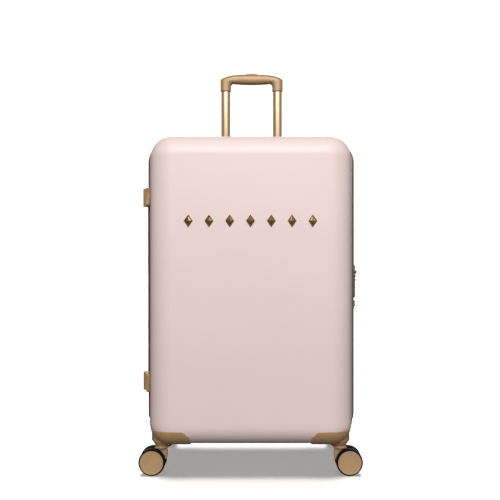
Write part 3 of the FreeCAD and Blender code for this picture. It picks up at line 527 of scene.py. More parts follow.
# Acetal, moulded with a fine spark-eroded texture.
black_acetal, tree, shader = surface("black_moulded_acetal", "1B1A19", 0.5)
grain(tree, shader, 0.8 * MM, 0.04 * MM)
scuffed(tree, shader, 0.01, 0.42, 0.58)

LINING_INSET = 4.4 * MM
LINING_START = 14.4 * MM
LINING_SPACING = 6 * MM
COVER_REACH = 14 * MM
COVER_GAP = 2.2 * MM
COVER_FLAT = 3 * MM
LINING_BEND_STEPS = 8
LINING_FLOOR_RINGS = 34
LINING_SLACK = 1.6 * MM
SLACK_RIPPLES = 18
BASE_FLOOR_DEPTH = 110.6 * MM
BASE_FLOOR_ROUND = 13 * MM
POST_HALF = 8 * MM
POST_SHIFT = 4 * MM
POST_OVER = 2 * MM


def evenly(points, spacing):
    """Points set at an even spacing round a closed outline."""
    lengths = [math.dist(first, second) for first, second in zip(points, points[1:] + points[:1])]
    total = sum(lengths)
    count = int(total / spacing)
    result = []
    index, passed = 0, 0.0
    for step in range(count):
        wanted = total * step / count
        while passed + lengths[index] < wanted:
            passed += lengths[index]
            index += 1
        share = (wanted - passed) / lengths[index] if lengths[index] else 0
        first, second = points[index], points[(index + 1) % len(points)]
        result.append((first[0] + (second[0] - first[0]) * share,
                       first[1] + (second[1] - first[1]) * share))
    return result


def lining_rings(side, floor_depth, floor_round):
    """Rings of cloth from the zip tape over the walls to the middle of the floor."""
    straight_end = floor_depth - floor_round
    stations = []
    wall_steps = max(3, int((straight_end - LINING_START) / LINING_SPACING))
    for step in range(wall_steps + 1):
        stations.append((LINING_START + (straight_end - LINING_START) * step / wall_steps, 0))
    for step in range(1, LINING_BEND_STEPS + 1):
        angle = math.radians(90 * step / LINING_BEND_STEPS)
        stations.append((straight_end + floor_round * math.sin(angle),
                         floor_round * (1 - math.cos(angle))))
    rings = []
    count = None
    for depth, reach in stations:
        points = outline(depth, LINING_INSET + reach)
        if count is None:
            spaced = evenly(points, LINING_SPACING)
            count = len(spaced)
        else:
            total = sum(math.dist(p, q) for p, q in zip(points, points[1:] + points[:1]))
            spaced = evenly(points, total / (count + 0.5))
        rings.append([(x, depth, z) for x, z in spaced[:count]])
    last = rings[-1]
    middle = (LOW + HIGH) / 2
    for step in range(1, LINING_FLOOR_RINGS):
        share = 1 - step / LINING_FLOOR_RINGS
        rings.append([(x * share, floor_depth, middle + (z - middle) * share)
                      for x, y, z in last])
    return [[(x, y * side, z) for x, y, z in ring] for ring in rings]


def covered(point, inward, boxes):
    """Moves a point of cloth inward where a fitting stands behind it."""
    moved = Vector(point)
    for low, high, direction in boxes:
        if inward.dot(direction) < 0.5:
            continue
        outside = 0.0
        for axis in range(3):
            if abs(direction[axis]) < 0.5:
                outside = max(outside, low[axis] - moved[axis], moved[axis] - high[axis])
        if outside >= COVER_REACH:
            continue
        ease = 1.0 if outside <= COVER_FLAT else 0.5 + 0.5 * math.cos(
            math.pi * (outside - COVER_FLAT) / (COVER_REACH - COVER_FLAT))
        axis = max(range(3), key=lambda number: abs(direction[number]))
        wanted = (high[axis] + COVER_GAP) if direction[axis] > 0 else (low[axis] - COVER_GAP)
        depth = (wanted - moved[axis]) * direction[axis]
        if depth > 0:
            moved[axis] += depth * ease * direction[axis]
    return moved


def node_parts(node):
    """The boxes of a node's separate pieces along its longest side, split at its middle."""
    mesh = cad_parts[node].data
    low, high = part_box(node)
    axis = max(range(3), key=lambda number: high[number] - low[number])
    middle = (low[axis] + high[axis]) / 2
    parts = []
    for side in (-1, 1):
        points = [vertex.co for vertex in mesh.vertices if (vertex.co[axis] - middle) * side > 0]
        parts.append((Vector([min(point[number] for point in points) for number in range(3)]),
                      Vector([max(point[number] for point in points) for number in range(3)])))
    return parts


def lining_mesh(name, side, floor_depth, floor_round, boxes):
    """The sewn dish of cloth, slightly slack, pushed inward over the fittings behind it."""
    rings = lining_rings(side, floor_depth, floor_round)
    middle = Vector((0, 0, (LOW + HIGH) / 2))
    result = []
    for row, ring in enumerate(rings):
        shaped = []
        for point in ring:
            place = Vector(point)
            on_wall = abs(place.y) < floor_depth - floor_round * 0.5
            across = Vector((middle.x - place.x, 0, middle.z - place.z))
            if on_wall:
                near_side = abs(place.x) > abs(outline(abs(place.y), LINING_INSET)[0][0]) - 3 * MM
                inward = (Vector((math.copysign(1, -place.x), 0, 0)) if near_side
                          else Vector((0, 0, math.copysign(1, across.z))))
            else:
                inward = Vector((0, -side, 0))
            slack = 0.5 + 0.5 * noise.noise(place * SLACK_RIPPLES + Vector((side * 3, 0, 0)))
            if row > 1:
                place += inward * (LINING_SLACK * slack)
            shaped.append(covered(place, inward, boxes))
        result.append(shaped)
    return loft(name, result, cap_first=False, cap_last=True)


def post_boxes(side):
    """Where the caster posts stand up inside a shell."""
    boxes = []
    for hand in ("left", "right"):
        half = "front" if side < 0 else "rear"
        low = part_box(f"{half}_{hand}_caster_housing")[0]
        pin_low, pin_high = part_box(f"{half}_kingpins")
        x = pin_high.x - POST_SHIFT if hand == "right" else pin_low.x + POST_SHIFT
        y = (pin_low.y + pin_high.y) / 2
        boxes.append((Vector((x - POST_HALF, y - POST_HALF, low.z)),
                      Vector((x + POST_HALF, y + POST_HALF, pin_high.z + POST_OVER)),
                      Vector((0, 0, 1))))
    return boxes


base_boxes = post_boxes(1)
base_boxes += [(low, high, Vector((0, 0, -1))) for low, high in node_parts("top_handle_sockets")]
base_boxes += [(low, high, Vector((-1, 0, 0))) for low, high in node_parts("side_handle_sockets")]
for half, side, floor_depth, floor_round, boxes in (
    ("lid", -1, DEPTH - LINING_INSET, FACE_ROUND - LINING_INSET, post_boxes(-1)),
    ("base", 1, BASE_FLOOR_DEPTH, BASE_FLOOR_ROUND, base_boxes),
):
    mesh = lining_mesh(f"{half}_lining", side, floor_depth, floor_round, boxes)
    node = "front_lining" if side < 0 else "rear_lining"
    cloth = finished(f"{half}_lining", mesh, lining_cloth, half, sharp=70, closed=False,
                     replaced=[node], slot="lining")

strap_low, strap_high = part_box("packing_straps")
STRAP_WIDE = 25 * MM
STRAP_LONG = 400 * MM
STRAP_LEAN = math.radians(32)
STRAP_STEPS = 48
STRAP_LIFT = 1.2 * MM
STRAP_LAP = 2.2 * MM
STRAP_ACROSS = (-0.5, -0.46, 0, 0.46, 0.5)


def strap_mesh(name, lean, back):
    """One webbing strap lying on the lining, lifted a little at its middle."""
    turn = Matrix.Rotation(lean, 3, "Y")
    middle = Vector((0, 0, (strap_low.z + strap_high.z) / 2))
    rows = []
    for step in range(STRAP_STEPS + 1):
        along = STRAP_LONG * (step / STRAP_STEPS - 0.5)
        lift = STRAP_LIFT * (1 + math.cos(2 * math.pi * along / STRAP_LONG)) / 2
        row = []
        for share in STRAP_ACROSS:
            point = middle + turn @ Vector((STRAP_WIDE * share, 0, along))
            row.append((point.x, back - lift, point.z))
        rows.append(row)
    mesh = bpy.data.meshes.new(name)
    vertices = [point for row in rows for point in row]
    count = len(STRAP_ACROSS)
    faces = [(row * count + step, row * count + step + 1, (row + 1) * count + step + 1,
              (row + 1) * count + step)
             for row in range(STRAP_STEPS) for step in range(count - 1)]
    mesh.from_pydata(vertices, [], faces)
    return mesh


for name, lean, back, nodes in (("first_packing_strap", STRAP_LEAN, strap_high.y - STRAP_LAP,
                                 ["packing_straps"]),
                                ("second_packing_strap", -STRAP_LEAN, strap_low.y, [])):
    band = finished(name, strap_mesh(name, lean, back), webbing, "base", closed=False,
                    replaced=nodes, slot="webbing")

buckle_low, buckle_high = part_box("strap_buckle")


def rounded_rings(low, high, axis, corner, edge, crown=0.0, steps=6):
    """Rings of a block with rounded corners round one axis and rounded edges at its ends."""
    first, second = [number for number in range(3) if number != axis]
    middle = (low + high) / 2
    rings = []
    stations = []
    for step in range(steps + 1):
        angle = math.radians(90 * step / steps)
        stations.append((low[axis] + edge * (1 - math.sin(angle)), edge * (1 - math.cos(angle))))
    stations = stations[::-1]
    stations += [(low[axis] + high[axis] - place, inset) for place, inset in stations[::-1]]
    for place, inset in stations:
        ring = []
        half = ((high[first] - low[first]) / 2 - inset, (high[second] - low[second]) / 2 - inset)
        radius = max(corner - inset, 0.1 * MM)
        for turn, (u, v) in enumerate(((1, 1), (-1, 1), (-1, -1), (1, -1))):
            for step in range(steps + 1):
                angle = math.radians(90 * (turn + step / steps))
                point = Vector((0, 0, 0))
                point[axis] = place
                point[first] = middle[first] + u * (half[0] - radius) + radius * math.cos(angle)
                point[second] = middle[second] + v * (half[1] - radius) + radius * math.sin(angle)
                ring.append(point)
        rings.append(ring)
    if crown:
        rings.append([Vector(point) for point in rings[-1]])
        for point in rings[-1]:
            for number in (first, second):
                point[number] = middle[number] + (point[number] - middle[number]) * 0.55
            point[axis] += crown
    return rings


def block_mesh(name, low, high, axis, corner, edge, crown=0.0):
    """A moulded block between two corners, rounded as rounded_rings says."""
    return loft(name, rounded_rings(Vector(low), Vector(high), axis, corner, edge, crown))


def buckle_meshes():
    """A side-release buckle: a socket half, a plug half with two side wings, raised ribs."""
    x0, x1 = buckle_low.x, buckle_high.x
    y0, y1 = buckle_low.y, buckle_high.y
    z0, z1 = buckle_low.z, buckle_high.z
    meshes = [block_mesh("socket", (x0, y0 + 0.8 * MM, z0 + 4 * MM),
                         (x0 + 30 * MM, y1, z1 - 4 * MM), 1, 5 * MM, 1.6 * MM),
              block_mesh("plug", (x0 + 31 * MM, y0 + 0.8 * MM, z0 + 4 * MM), (x1, y1, z1 - 4 * MM),
                         1, 5 * MM, 1.6 * MM)]
    for wing_low, wing_high in ((z0, z0 + 7 * MM), (z1 - 7 * MM, z1)):
        meshes.append(block_mesh("wing", (x0 + 12 * MM, y0 + 1.4 * MM, wing_low),
                                 (x0 + 38 * MM, y1 - 0.8 * MM, wing_high), 1, 3 * MM, 1.2 * MM))
    for number in range(5):
        rib = x0 + 6 * MM + number * 4 * MM
        meshes.append(block_mesh("rib", (rib, y0, z0 + 9 * MM),
                                 (rib + 1.6 * MM, y0 + 2 * MM, z1 - 9 * MM), 1, 0.7 * MM,
                                 0.5 * MM))
    return meshes


finished("strap_side_release_buckle", joined_mesh("strap_side_release_buckle", buckle_meshes()),
         black_acetal, "base", closed=False, replaced=["strap_buckle"], slot="black_plastic")

# ---------------------------------------------------------------------------------------------
# The two hinges stand out from the side as feet: painted nylon leaves riveted to the shells,
# turning on steel pins. Between them a strip of dark cloth closes the gap.
# ---------------------------------------------------------------------------------------------

# Ground steel for pins and axles.
ground_steel, tree, shader = surface("ground_steel", "B8B8BA", 0.28, metallic=1.0)
grain(tree, shader, 0.6 * MM, 0.02 * MM, stretch=(1, 1, 6))


def smooth_copy(node, name, material, body, slot, sharp=28):
    """A merged, smoothly shaded copy of a CAD node, shown in its place."""
    work = bmesh.new()
    work.from_mesh(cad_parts[node].data)
    bmesh.ops.remove_doubles(work, verts=work.verts, dist=2e-6)
    mesh = bpy.data.meshes.new(name)
    work.to_mesh(mesh)
    work.free()
    return finished(name, mesh, material, body, sharp=sharp, closed=False, replaced=[node],
                    slot=slot)


# Moulded nylon in a yellowish champagne paint: aluminium flake under a satin lacquer. The colour
# is set lighter than the handle's paint to stand in for the brighter light on the hinge feet:
# painted light.
hinge_paint_with_painted_light, tree, shader = surface("champagne_paint_lightened_as_painted_light", "B48F60", 0.46, metallic=0.25)
grain(tree, shader, 0.9 * MM, 0.03 * MM)
tone(tree, shader, 0.02, "B08B5C", "B89364")

for word in ("upper", "lower"):
    for half in ("base", "lid"):
        smooth_copy(f"{word}_hinge_{half}_leaf", f"{word}_{half}_hinge_leaf", hinge_paint_with_painted_light,
                    half, "gold_plastic")
dressed(ground_steel, "hinge_pins")

# Rivet heads, two on each leaf, pressed steel in the leaf's lightened paint, which carries the
# same painted light.
RIVET_SECTION = ((3.4, 0.0), (3.4, 0.5), (2.9, 1.0), (1.7, 1.25), (0.0, 1.3))
RIVET_STEPS = 20
RIVET_FACE = -249.6 * MM
RIVET_OFF = 25 * MM


def disc_on_side(name, section, centre, outward):
    """A turned head that stands on a surface, its axis along outward, in mm sections."""
    up = Vector(outward).normalized()
    first = up.orthogonal().normalized()
    second = up.cross(first)
    rings = []
    for radius, rise in section:
        rings.append([Vector(centre) + up * (rise * MM)
                      + first * (radius * MM * math.cos(2 * math.pi * step / RIVET_STEPS))
                      + second * (radius * MM * math.sin(2 * math.pi * step / RIVET_STEPS))
                      for step in range(RIVET_STEPS)])
    return loft(name, rings)


for half, side in (("base", 1), ("lid", -1)):
    heads = []
    for word in ("upper", "lower"):
        low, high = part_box(f"{word}_hinge_{half}_leaf")
        for share in (0.25, 0.75):
            z = low.z + (high.z - low.z) * share
            heads.append(disc_on_side("rivet", RIVET_SECTION,
                                      (RIVET_FACE, RIVET_OFF * side, z), (-1, 0, 0)))
    finished(f"{half}_hinge_rivets", joined_mesh(f"{half}_hinge_rivets", heads), hinge_paint_with_painted_light,
             half, closed=False, slot="gold_plastic")

# Dark woven strip, folded into a soft bulge at rest.
dark_weave, tree, shader = surface("dark_woven_strip", "35281F", 0.88, sheen=0.3)
woven(tree, shader, 1.8 * MM, "2A1F19", "3F3028", 0.2 * MM)

cloth_low, cloth_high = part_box("fabric_hinge")
STRIP_ROWS = 60
STRIP_STEPS = 22
STRIP_HALF = cloth_high.y
STRIP_BOW = 1.6 * MM
STRIP_TUCK = 1.2 * MM
STRIP_GAP = 7.5 * MM
STRIP_PUCKER = 0.4 * MM


def strip_mesh(name):
    """The cloth strip: tucked behind each rim, bulging out through the gap between them."""
    rows = []
    tucked = cloth_high.x - STRIP_TUCK
    bulge = tucked - cloth_low.x + STRIP_BOW
    for row in range(STRIP_ROWS + 1):
        z = cloth_low.z + (cloth_high.z - cloth_low.z) * row / STRIP_ROWS
        points = []
        for step in range(STRIP_STEPS + 1):
            y = STRIP_HALF * (1 - 2 * step / STRIP_STEPS)
            rise = max(0.0, 1 - (abs(y) / STRIP_GAP) ** 2)
            pucker = STRIP_PUCKER * noise.noise(Vector((y * 60, 0, z * 45)))
            points.append((tucked - bulge * rise ** 0.8 + pucker * rise, y, z))
        rows.append(points)
    count = STRIP_STEPS + 1
    mesh = bpy.data.meshes.new(name)
    mesh.from_pydata([point for points in rows for point in points], [],
                     [(row * count + step, (row + 1) * count + step,
                       (row + 1) * count + step + 1, row * count + step + 1)
                      for row in range(STRIP_ROWS) for step in range(STRIP_STEPS)])
    return mesh


strip = strip_mesh("hinge_cloth_strip")
strip_piece = finished("hinge_cloth_strip", strip, dark_weave, None, closed=False,
                       replaced=["fabric_hinge"], slot="hinge_cloth")
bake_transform(strip_piece)

# ---------------------------------------------------------------------------------------------
# The telescopic handle: a painted nylon grip on two anodised aluminium tubes that slide in
# plain tubes inside the base, held by a nylon foot. A push button in the grip's top frees it.
# The tubes come out through a painted well let into the base shell's top edge.
# ---------------------------------------------------------------------------------------------

# Nylon painted in a champagne metallic: aluminium flake under a satin lacquer.
champagne_paint, tree, shader = surface("champagne_metallic_paint", "A08360", 0.46, metallic=0.25)
grain(tree, shader, 0.9 * MM, 0.03 * MM)
tone(tree, shader, 0.02, "9C7F5C", "A48764")

# Extruded tube, brushed along its length and anodised champagne.
anodised_tube, tree, shader = surface("champagne_anodised_aluminium", "C8AD8C", 0.40,
                                      metallic=1.0)
grain(tree, shader, 0.9 * MM, 0.03 * MM, stretch=(1, 1, 0.02))
plain_aluminium, tree, shader = surface("mill_finish_aluminium", "C4C4C6", 0.38, metallic=1.0)
grain(tree, shader, 0.9 * MM, 0.04 * MM, stretch=(1, 1, 0.03))

tubes_low, tubes_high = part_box("trolley_inner_tubes")
TUBE_WIDE = 23 * MM
TUBE_STEPS = 48
TUBE_SQUARE = 2.3
tube_middle_y = (tubes_low.y + tubes_high.y) / 2
tube_middle_x = tubes_high.x - TUBE_WIDE / 2


def power(value, share):
    """A power that keeps its number's sign."""
    return math.copysign(abs(value) ** share, value)


def oval(middle, half_x, half_y, z, square, steps):
    """A softened rectangle as a ring at one height."""
    ring = []
    for step in range(steps):
        angle = 2 * math.pi * step / steps
        ring.append((middle[0] + half_x * power(math.cos(angle), 2 / square),
                     middle[1] + half_y * power(math.sin(angle), 2 / square), z))
    return ring


def tube_meshes():
    """The two sliding tubes, each recessed at its foot so that its wall's thickness shows."""
    meshes = []
    half_y = (tubes_high.y - tubes_low.y) / 2
    for side in (-1, 1):
        middle = (side * tube_middle_x, tube_middle_y)
        rings = [oval(middle, TUBE_WIDE / 2 - inset, half_y - inset, z, TUBE_SQUARE, TUBE_STEPS)
                 for inset, z in ((1.2 * MM, tubes_low.z + 2 * MM), (1.2 * MM, tubes_low.z),
                                  (0.2 * MM, tubes_low.z), (0, tubes_low.z + 0.3 * MM),
                                  (0, tubes_high.z))]
        meshes.append(loft("tube", rings))
    return meshes


finished("sliding_tubes", joined_mesh("sliding_tubes", tube_meshes()), anodised_tube, "trolley",
         closed=False, replaced=["trolley_inner_tubes"], slot="gold_tube")
dressed(plain_aluminium, "trolley_outer_tubes")
dressed(black_acetal, "trolley_foot_bracket")

grip_low, grip_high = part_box("trolley_grip")
grip_half = grip_high.x
GRIP_DROP = 13 * MM
UNDER_LIFT = 2.6 * MM
UNDER_SPAN = 47 * MM
GRIP_SQUARE = 2.7
GRIP_END = 0.8 * MM
# Cuts across the grip from its shoulder to its middle: (outer, inner) distances in mm.
GRIP_CUTS = ((79.4, 48.8), (74.5, 46.3), (67, 42.5), (59, 38), (49, 32), (38, 25.5),
             (27, 18.5), (16, 11), (6, 4))
under_level = grip_low.z + 18 * MM
LEG_INNER = 54.4 * MM
GRIP_STEPS = 40


def grip_top(x):
    """The grip's crowned upper line."""
    return grip_high.z - GRIP_DROP * (abs(x) / grip_half) ** 4


def grip_under(x):
    """The bar's lower line, which rises a little towards the legs."""
    return under_level + UNDER_LIFT * (x / UNDER_SPAN) ** 2


def grip_stations():
    """Pairs of (outer, inner) points from the foot of one leg to the middle of the grip."""
    z = grip_low.z
    pairs = [((grip_half, z), (LEG_INNER, z)),
             ((grip_half, z + 0.8 * MM), (LEG_INNER, z + 0.8 * MM)),
             ((grip_half, z + 8 * MM), (LEG_INNER, z + 7 * MM)),
             ((grip_half, z + 18 * MM), (LEG_INNER - 0.3 * MM, z + 13 * MM)),
             ((grip_half, z + 27 * MM), (LEG_INNER - 1.4 * MM, z + 16.8 * MM)),
             ((grip_half - 0.5 * MM, z + 30.6 * MM), (LEG_INNER - 3.6 * MM, z + 19.2 * MM))]
    for outer, inner in GRIP_CUTS:
        pairs.append(((outer * MM, grip_top(outer * MM)), (inner * MM, grip_under(inner * MM))))
    return pairs


def grip_mesh(name):
    """Both legs and the bar as one skin, swept from foot to foot."""
    half_deep = (grip_high.y - grip_low.y) / 2
    pairs = grip_stations()
    stations = [(outer, inner, 1) for outer, inner in pairs]
    stations += [(outer, inner, -1) for outer, inner in pairs[::-1]]
    rings = []
    for number, (outer, inner, hand) in enumerate(stations):
        end = number in (0, len(stations) - 1)
        shrink = GRIP_END if end else 0
        start = Vector((outer[0] * hand, 0, outer[1]))
        finish = Vector((inner[0] * hand, 0, inner[1]))
        middle = (start + finish) / 2
        reach = (start - finish) / 2
        reach *= 1 - shrink / reach.length
        ring = []
        for step in range(GRIP_STEPS):
            angle = 2 * math.pi * step / GRIP_STEPS
            spot = middle + reach * power(math.cos(angle), 2 / GRIP_SQUARE)
            ring.append((spot.x, tube_middle_y
                         + (half_deep - shrink) * power(math.sin(angle), 2 / GRIP_SQUARE), spot.z))
        rings.append(ring)
    return loft(name, rings)


finished("grip", grip_mesh("grip"), champagne_paint, "trolley", replaced=["trolley_grip"],
         slot="gold_plastic")
button_low, button_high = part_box("trolley_button")
BUTTON_CROWN = 1.4 * MM
finished("grip_button", block_mesh("grip_button", button_low,
                                   (button_high.x, button_high.y, button_high.z - BUTTON_CROWN),
                                   2, 6 * MM, 1.6 * MM, BUTTON_CROWN), champagne_paint,
         "trolley_release", sharp=60, replaced=["trolley_button"], slot="gold_plastic")
smooth_copy("trolley_bezel", "handle_well", champagne_paint, "base", "gold_plastic")

# ---------------------------------------------------------------------------------------------
# Two carry handles, on top and on the side: a soft nylon bar with T-shaped feet that slide in
# painted end sockets, so that the bar lies low and lifts when it is pulled.
# ---------------------------------------------------------------------------------------------


BAR_STEPS = 26
BAR_TURNS = 28
BAR_SQUARE = 3
BAR_END = 0.4 * MM
BAR_BOW = 4.0 * MM
BAR_THIN = 4.6
BAR_SWELL = 3.2
FOOT_OFF = 102 * MM
FOOT_HALF_LONG = 4 * MM
FOOT_HALF_WIDE = 8 * MM
FOOT_SINK = 5 * MM


def bar_meshes(low, high, out_axis):
    """A bar that lies along its longest side, thickest in the middle, with two end posts."""
    span = high - low
    along = max(range(3), key=lambda number: span[number])
    across = 3 - along - out_axis
    middle = (low + high) / 2
    out_high = high[out_axis]
    half_long = span[along] / 2
    rings = []
    for step in range(BAR_STEPS + 1):
        share = -1 + 2 * step / BAR_STEPS
        place = share * (half_long - BAR_END)
        swell = math.cos(share * math.pi / 2)
        thick = (BAR_THIN + BAR_SWELL * swell) * MM
        top = out_high - BAR_BOW * (1 - swell) ** 1.4
        half_wide = span[across] / 2 * (0.80 + 0.20 * swell)
        tuck = 0.55 if step in (0, BAR_STEPS) else 1.0
        ring = []
        for turn in range(BAR_TURNS):
            angle = 2 * math.pi * turn / BAR_TURNS
            wide = power(math.cos(angle), 2 / BAR_SQUARE)
            deep = power(math.sin(angle), 2 / BAR_SQUARE)
            point = Vector((0, 0, 0))
            point[along] = middle[along] + place
            point[across] = middle[across] + half_wide * tuck * wide
            point[out_axis] = top - thick / 2 + thick / 2 * tuck * deep
            ring.append(point)
        rings.append(ring)
    meshes = [loft("bar", rings)]
    for side in (-1, 1):
        post_low, post_high = Vector(low), Vector(high)
        centre = middle[along] + side * FOOT_OFF
        post_low[along] = centre - FOOT_HALF_LONG
        post_high[along] = centre + FOOT_HALF_LONG
        post_low[across] = middle[across] - FOOT_HALF_WIDE
        post_high[across] = middle[across] + FOOT_HALF_WIDE
        post_high[out_axis] = out_high - FOOT_SINK
        meshes.append(block_mesh("post", post_low, post_high, out_axis, 2 * MM, 0.8 * MM))
    return meshes


# Soft-touch nylon in the shell's accent colour: finer grain and duller than the fittings.
soft_bar, tree, shader = surface("soft_touch_champagne_nylon", "A88763", 0.55, metallic=0.2)
grain(tree, shader, 1.2 * MM, 0.06 * MM)
tone(tree, shader, 0.03, "A18060", "AE8D69")
for word, out_axis in (("top", 2), ("side", 0)):
    low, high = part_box(f"{word}_carry_handle")
    bar = joined_mesh(f"{word}_handle_bar", bar_meshes(low, high, out_axis))
    finished(f"{word}_handle_bar", bar, soft_bar, f"{word}_handle", sharp=50, closed=False,
             replaced=[f"{word}_carry_handle"], slot="gold_plastic")
    smooth_copy(f"{word}_handle_sockets", f"{word}_sockets", champagne_paint, "base",
                "gold_plastic")

# ---------------------------------------------------------------------------------------------
# The lock beside the zip: a painted zinc body with three knurled number dials on a spindle,
# a release button and a steel key cylinder.
# ---------------------------------------------------------------------------------------------

smooth_copy("lock_body", "lock_case", lock_paint, "base", "lock_metal")
smooth_copy("lock_button", "lock_release_button", lock_paint, "lock_release", "lock_metal")
dressed(ground_steel, "lock_spindle", "key_cylinder")
KNURLS = 20
KNURL_POINTS = 6
KNURL_DEEP = 0.35 * MM
DIAL_EDGE = 0.8 * MM
DIAL_WALL = 2.0 * MM


def dial_mesh(name, low, high):
    """A dial with rounded flutes round its rim, hollow for the spindle."""
    middle = (low + high) / 2
    radius = (high.x - low.x) / 2
    tall = high.z - low.z
    rings = []
    for inset, share in ((radius - DIAL_WALL, 0.0), (DIAL_EDGE, 0.0), (0.0, 0.12), (0.0, 0.88),
                         (DIAL_EDGE, 1.0), (radius - DIAL_WALL, 1.0)):
        ring = []
        for step in range(KNURLS * KNURL_POINTS):
            angle = 2 * math.pi * step / (KNURLS * KNURL_POINTS)
            flute = 0
            if inset < radius / 2:
                flute = KNURL_DEEP * (1 - abs(math.sin(angle * KNURLS / 2)))
            reach = radius - inset - flute
            ring.append((middle.x + reach * math.cos(angle), middle.y + reach * math.sin(angle),
                         low.z + tall * share))
        rings.append(ring)
    rings.append(rings[0])
    return loft(name, rings, cap_first=False, cap_last=False)


for number in range(1, 4):
    low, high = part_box(f"lock_dial_{number}")
    finished(f"number_dial_{number}", dial_mesh(f"number_dial_{number}", low, high),
             black_acetal, f"dial_{number}", replaced=[f"lock_dial_{number}"],
             slot="black_plastic")

# ---------------------------------------------------------------------------------------------
# Casters. Each corner has a glass-filled nylon guard with a bearing boss, a nylon fork on a
# steel kingpin, and two wheels: a polyurethane tread moulded on a hub with a satin metallic
# cap pressed into it.
# ---------------------------------------------------------------------------------------------

# Glass-filled nylon under a satin champagne paint, a lighter batch than on the handle.
caster_nylon, tree, shader = surface("painted_caster_nylon", "BC9B71", 0.5, metallic=0.2)
grain(tree, shader, 0.9 * MM, 0.03 * MM)
tone(tree, shader, 0.02, "B8976D", "C09F75")

# Cast polyurethane: dull black with a faint moulding grain.
black_tread, tree, shader = surface("black_polyurethane_tread", "060505", 0.78, ior=1.25)
grain(tree, shader, 1.2 * MM, 0.08 * MM)
scuffed(tree, shader, 0.006, 0.66, 0.8)

WHEEL_STEPS = 72
TREAD_SECTION = [(25.0, 4.7), (28.6, 4.7), (29.5, 5.2), (29.95, 6.4), (30.0, 12.0),
                 (29.95, 17.6), (29.5, 18.8), (28.6, 19.4), (25.0, 19.4)]
HUB_SECTION = [(0.0, 5.3), (8.0, 5.3), (9.0, 6.2), (21.5, 6.2), (22.5, 5.3), (24.9, 5.3),
               (24.9, 19.3), (26.0, 19.5), (26.3, 20.0), (26.2, 20.9), (25.7, 21.4),
               (24.7, 21.4), (24.2, 21.05), (23.5, 20.95), (0.0, 20.95)]


def turned(name, section, centre, side):
    """A ring or disc turned about the wheel's axle; section is (radius, distance) in mm."""
    rings = []
    for radius, reach in section:
        ring = []
        for step in range(WHEEL_STEPS):
            angle = 2 * math.pi * step / WHEEL_STEPS
            ring.append((centre.x + radius * MM * math.cos(angle), centre.y + side * reach * MM,
                         centre.z + radius * MM * math.sin(angle)))
        rings.append(ring)
    closed = section[0][0] > 0
    if closed:
        rings.append(rings[0])
    return loft(name, rings, cap_first=not closed, cap_last=not closed)


CORNER_BODIES = {"front": "lid", "rear": "base"}
for corner in ("front_left", "front_right", "rear_left", "rear_right"):
    tyres_low, tyres_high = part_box(f"{corner}_tyres")
    centre = (tyres_low + tyres_high) / 2
    treads = [turned(f"{corner}_tread", TREAD_SECTION, centre, side) for side in (-1, 1)]
    finished(f"{corner}_treads", joined_mesh(f"{corner}_treads", treads), black_tread,
             f"{corner}_wheels", closed=False, replaced=[f"{corner}_tyres"], slot="tyre")
    caps = [turned(f"{corner}_hub", HUB_SECTION, centre, side) for side in (-1, 1)]
    finished(f"{corner}_hub_caps", joined_mesh(f"{corner}_hub_caps", caps), caster_nylon,
             f"{corner}_wheels", closed=False, replaced=[f"{corner}_hubs"], slot="gold_plastic")
    smooth_copy(f"{corner}_fork", f"{corner}_wheel_fork", caster_nylon, f"{corner}_swivel",
                "gold_plastic")
    smooth_copy(f"{corner}_caster_housing", f"{corner}_guard", caster_nylon,
                CORNER_BODIES[corner.split("_")[0]], "gold_plastic")
    dressed(ground_steel, f"{corner}_axle")
dressed(ground_steel, "front_kingpins", "rear_kingpins")

# ---------------------------------------------------------------------------------------------
# Studio: a plain white floor with lamps of its own, so that the shadow under the case stays
# pale. The case has a wide key from the front, a softbox above, a fill from behind, a weak fill
# on each side and a narrow strip towards the lock.
# ---------------------------------------------------------------------------------------------

FLOOR = 12.0
floor_mesh = bpy.data.meshes.new("floor")
floor_mesh.from_pydata([(-FLOOR, -FLOOR, 0), (FLOOR, -FLOOR, 0), (FLOOR, FLOOR, 0),
                        (-FLOOR, FLOOR, 0)], [], [(0, 1, 2, 3)])
floor = bpy.data.objects.new("floor", floor_mesh)
bpy.context.scene.collection.objects.link(floor)
white_floor, tree, shader = surface("matt_white_acrylic_table", "FFFFFF", 0.9)
# The table glows a little from beneath, which keeps the shadow between the wheels pale.
TABLE_GLOW = 0.29
shader.inputs["Emission Color"].default_value = (1, 1, 1, 1)
shader.inputs["Emission Strength"].default_value = TABLE_GLOW
floor_mesh.materials.append(white_floor)
# The bright floor neither lights the case nor is mirrored in it.
floor.visible_diffuse = False
floor.visible_glossy = False
floor_only = bpy.data.collections.new("floor_only")
floor_only.objects.link(floor)
all_but_floor = bpy.data.collections.new("all_but_floor")
all_but_floor.objects.link(floor)
all_but_floor.collection_objects[0].light_linking.link_state = "EXCLUDE"


def lamp(name, kind, receivers, **settings):
    """A lamp that lights one set of things; settings are the lamp's own properties."""
    light = bpy.data.lights.new(name, kind)
    for word, value in settings.items():
        setattr(light, word, value)
    holder = bpy.data.objects.new(name, light)
    holder.light_linking.receiver_collection = receivers
    bpy.context.scene.collection.objects.link(holder)
    return holder


def sun(name, receivers, azimuth, elevation, strength, spread):
    """A very wide, distant source; azimuth 0 comes from the front."""
    holder = lamp(name, "SUN", receivers, energy=strength, angle=math.radians(spread))
    holder.rotation_euler = (math.radians(90 - elevation), 0, math.radians(azimuth))


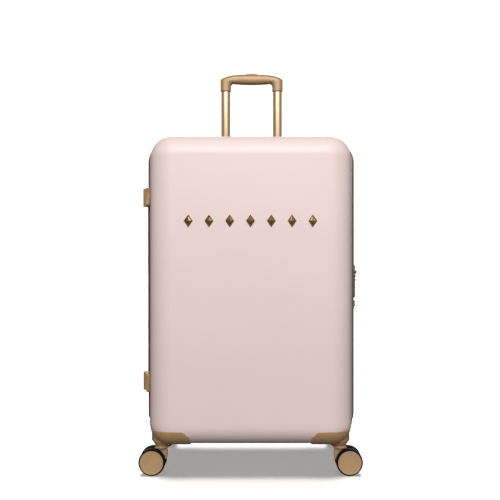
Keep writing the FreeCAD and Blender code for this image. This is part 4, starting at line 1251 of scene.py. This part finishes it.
def softbox(name, place, target, wide, tall, watts):
    """A flat lit panel at a place, facing a target."""
    holder = lamp(name, "AREA", all_but_floor, shape="RECTANGLE", size=wide, size_y=tall,
                  energy=watts)
    holder.location = place
    aim = Vector(target) - Vector(place)
    holder.rotation_euler = aim.to_track_quat("-Z", "Y").to_euler()


sun("front_key", all_but_floor, 0, 31, 1.94, 34)
sun("back_fill", all_but_floor, 180, 16, 1.7, 40)
sun("left_fill", all_but_floor, -90, 12, 0.25, 30)
sun("right_fill", all_but_floor, 90, 12, 0.25, 30)
sun("floor_wash", floor_only, 0, 90, 3.2, 34)
sun("floor_back", floor_only, 180, 55, 3.0, 20)
softbox("top_front_box", (0, -1.45, 1.62), (0, 0, 0.6), 0.9, 0.9, 13)
softbox("right_strip", (1.0, -1.5, 0.9), (0, 0.1, 0.8), 0.14, 0.9, 1.6)

# Walls of the room: warm and dim to the case, plain white behind it.
world = bpy.data.worlds.new("studio")
bpy.context.scene.world = world
world.use_nodes = True
sky = world.node_tree
background = sky.nodes["Background"]
background.inputs["Color"].default_value = (1.0, 0.88, 0.81, 1)
seen = add(sky, "ShaderNodeLightPath")
mirrored = add(sky, "ShaderNodeMapRange", {"To Min": 0.09, "To Max": 0.13},
               Value=seen.outputs["Is Glossy Ray"])
strength = add(sky, "ShaderNodeMapRange", {"To Max": 1.35}, Value=seen.outputs["Is Camera Ray"],
               To_Min=mirrored.outputs["Result"])
sky.links.new(strength.outputs["Result"], background.inputs["Strength"])

CAMERA_AWAY = 1.6035
CAMERA_RIGHT = 0.014
CAMERA_HIGH = 0.5065
lens = bpy.data.cameras.new("camera")
lens.lens = 47.5
lens.sensor_width = 36
lens.shift_x = -0.0138
camera = bpy.data.objects.new("camera", lens)
camera.location = (CAMERA_RIGHT, -CAMERA_AWAY, CAMERA_HIGH)
camera.rotation_euler = (math.radians(90), 0, 0)
bpy.context.scene.collection.objects.link(camera)
bpy.context.scene.camera = camera
bpy.context.scene.view_settings.view_transform = "Standard"
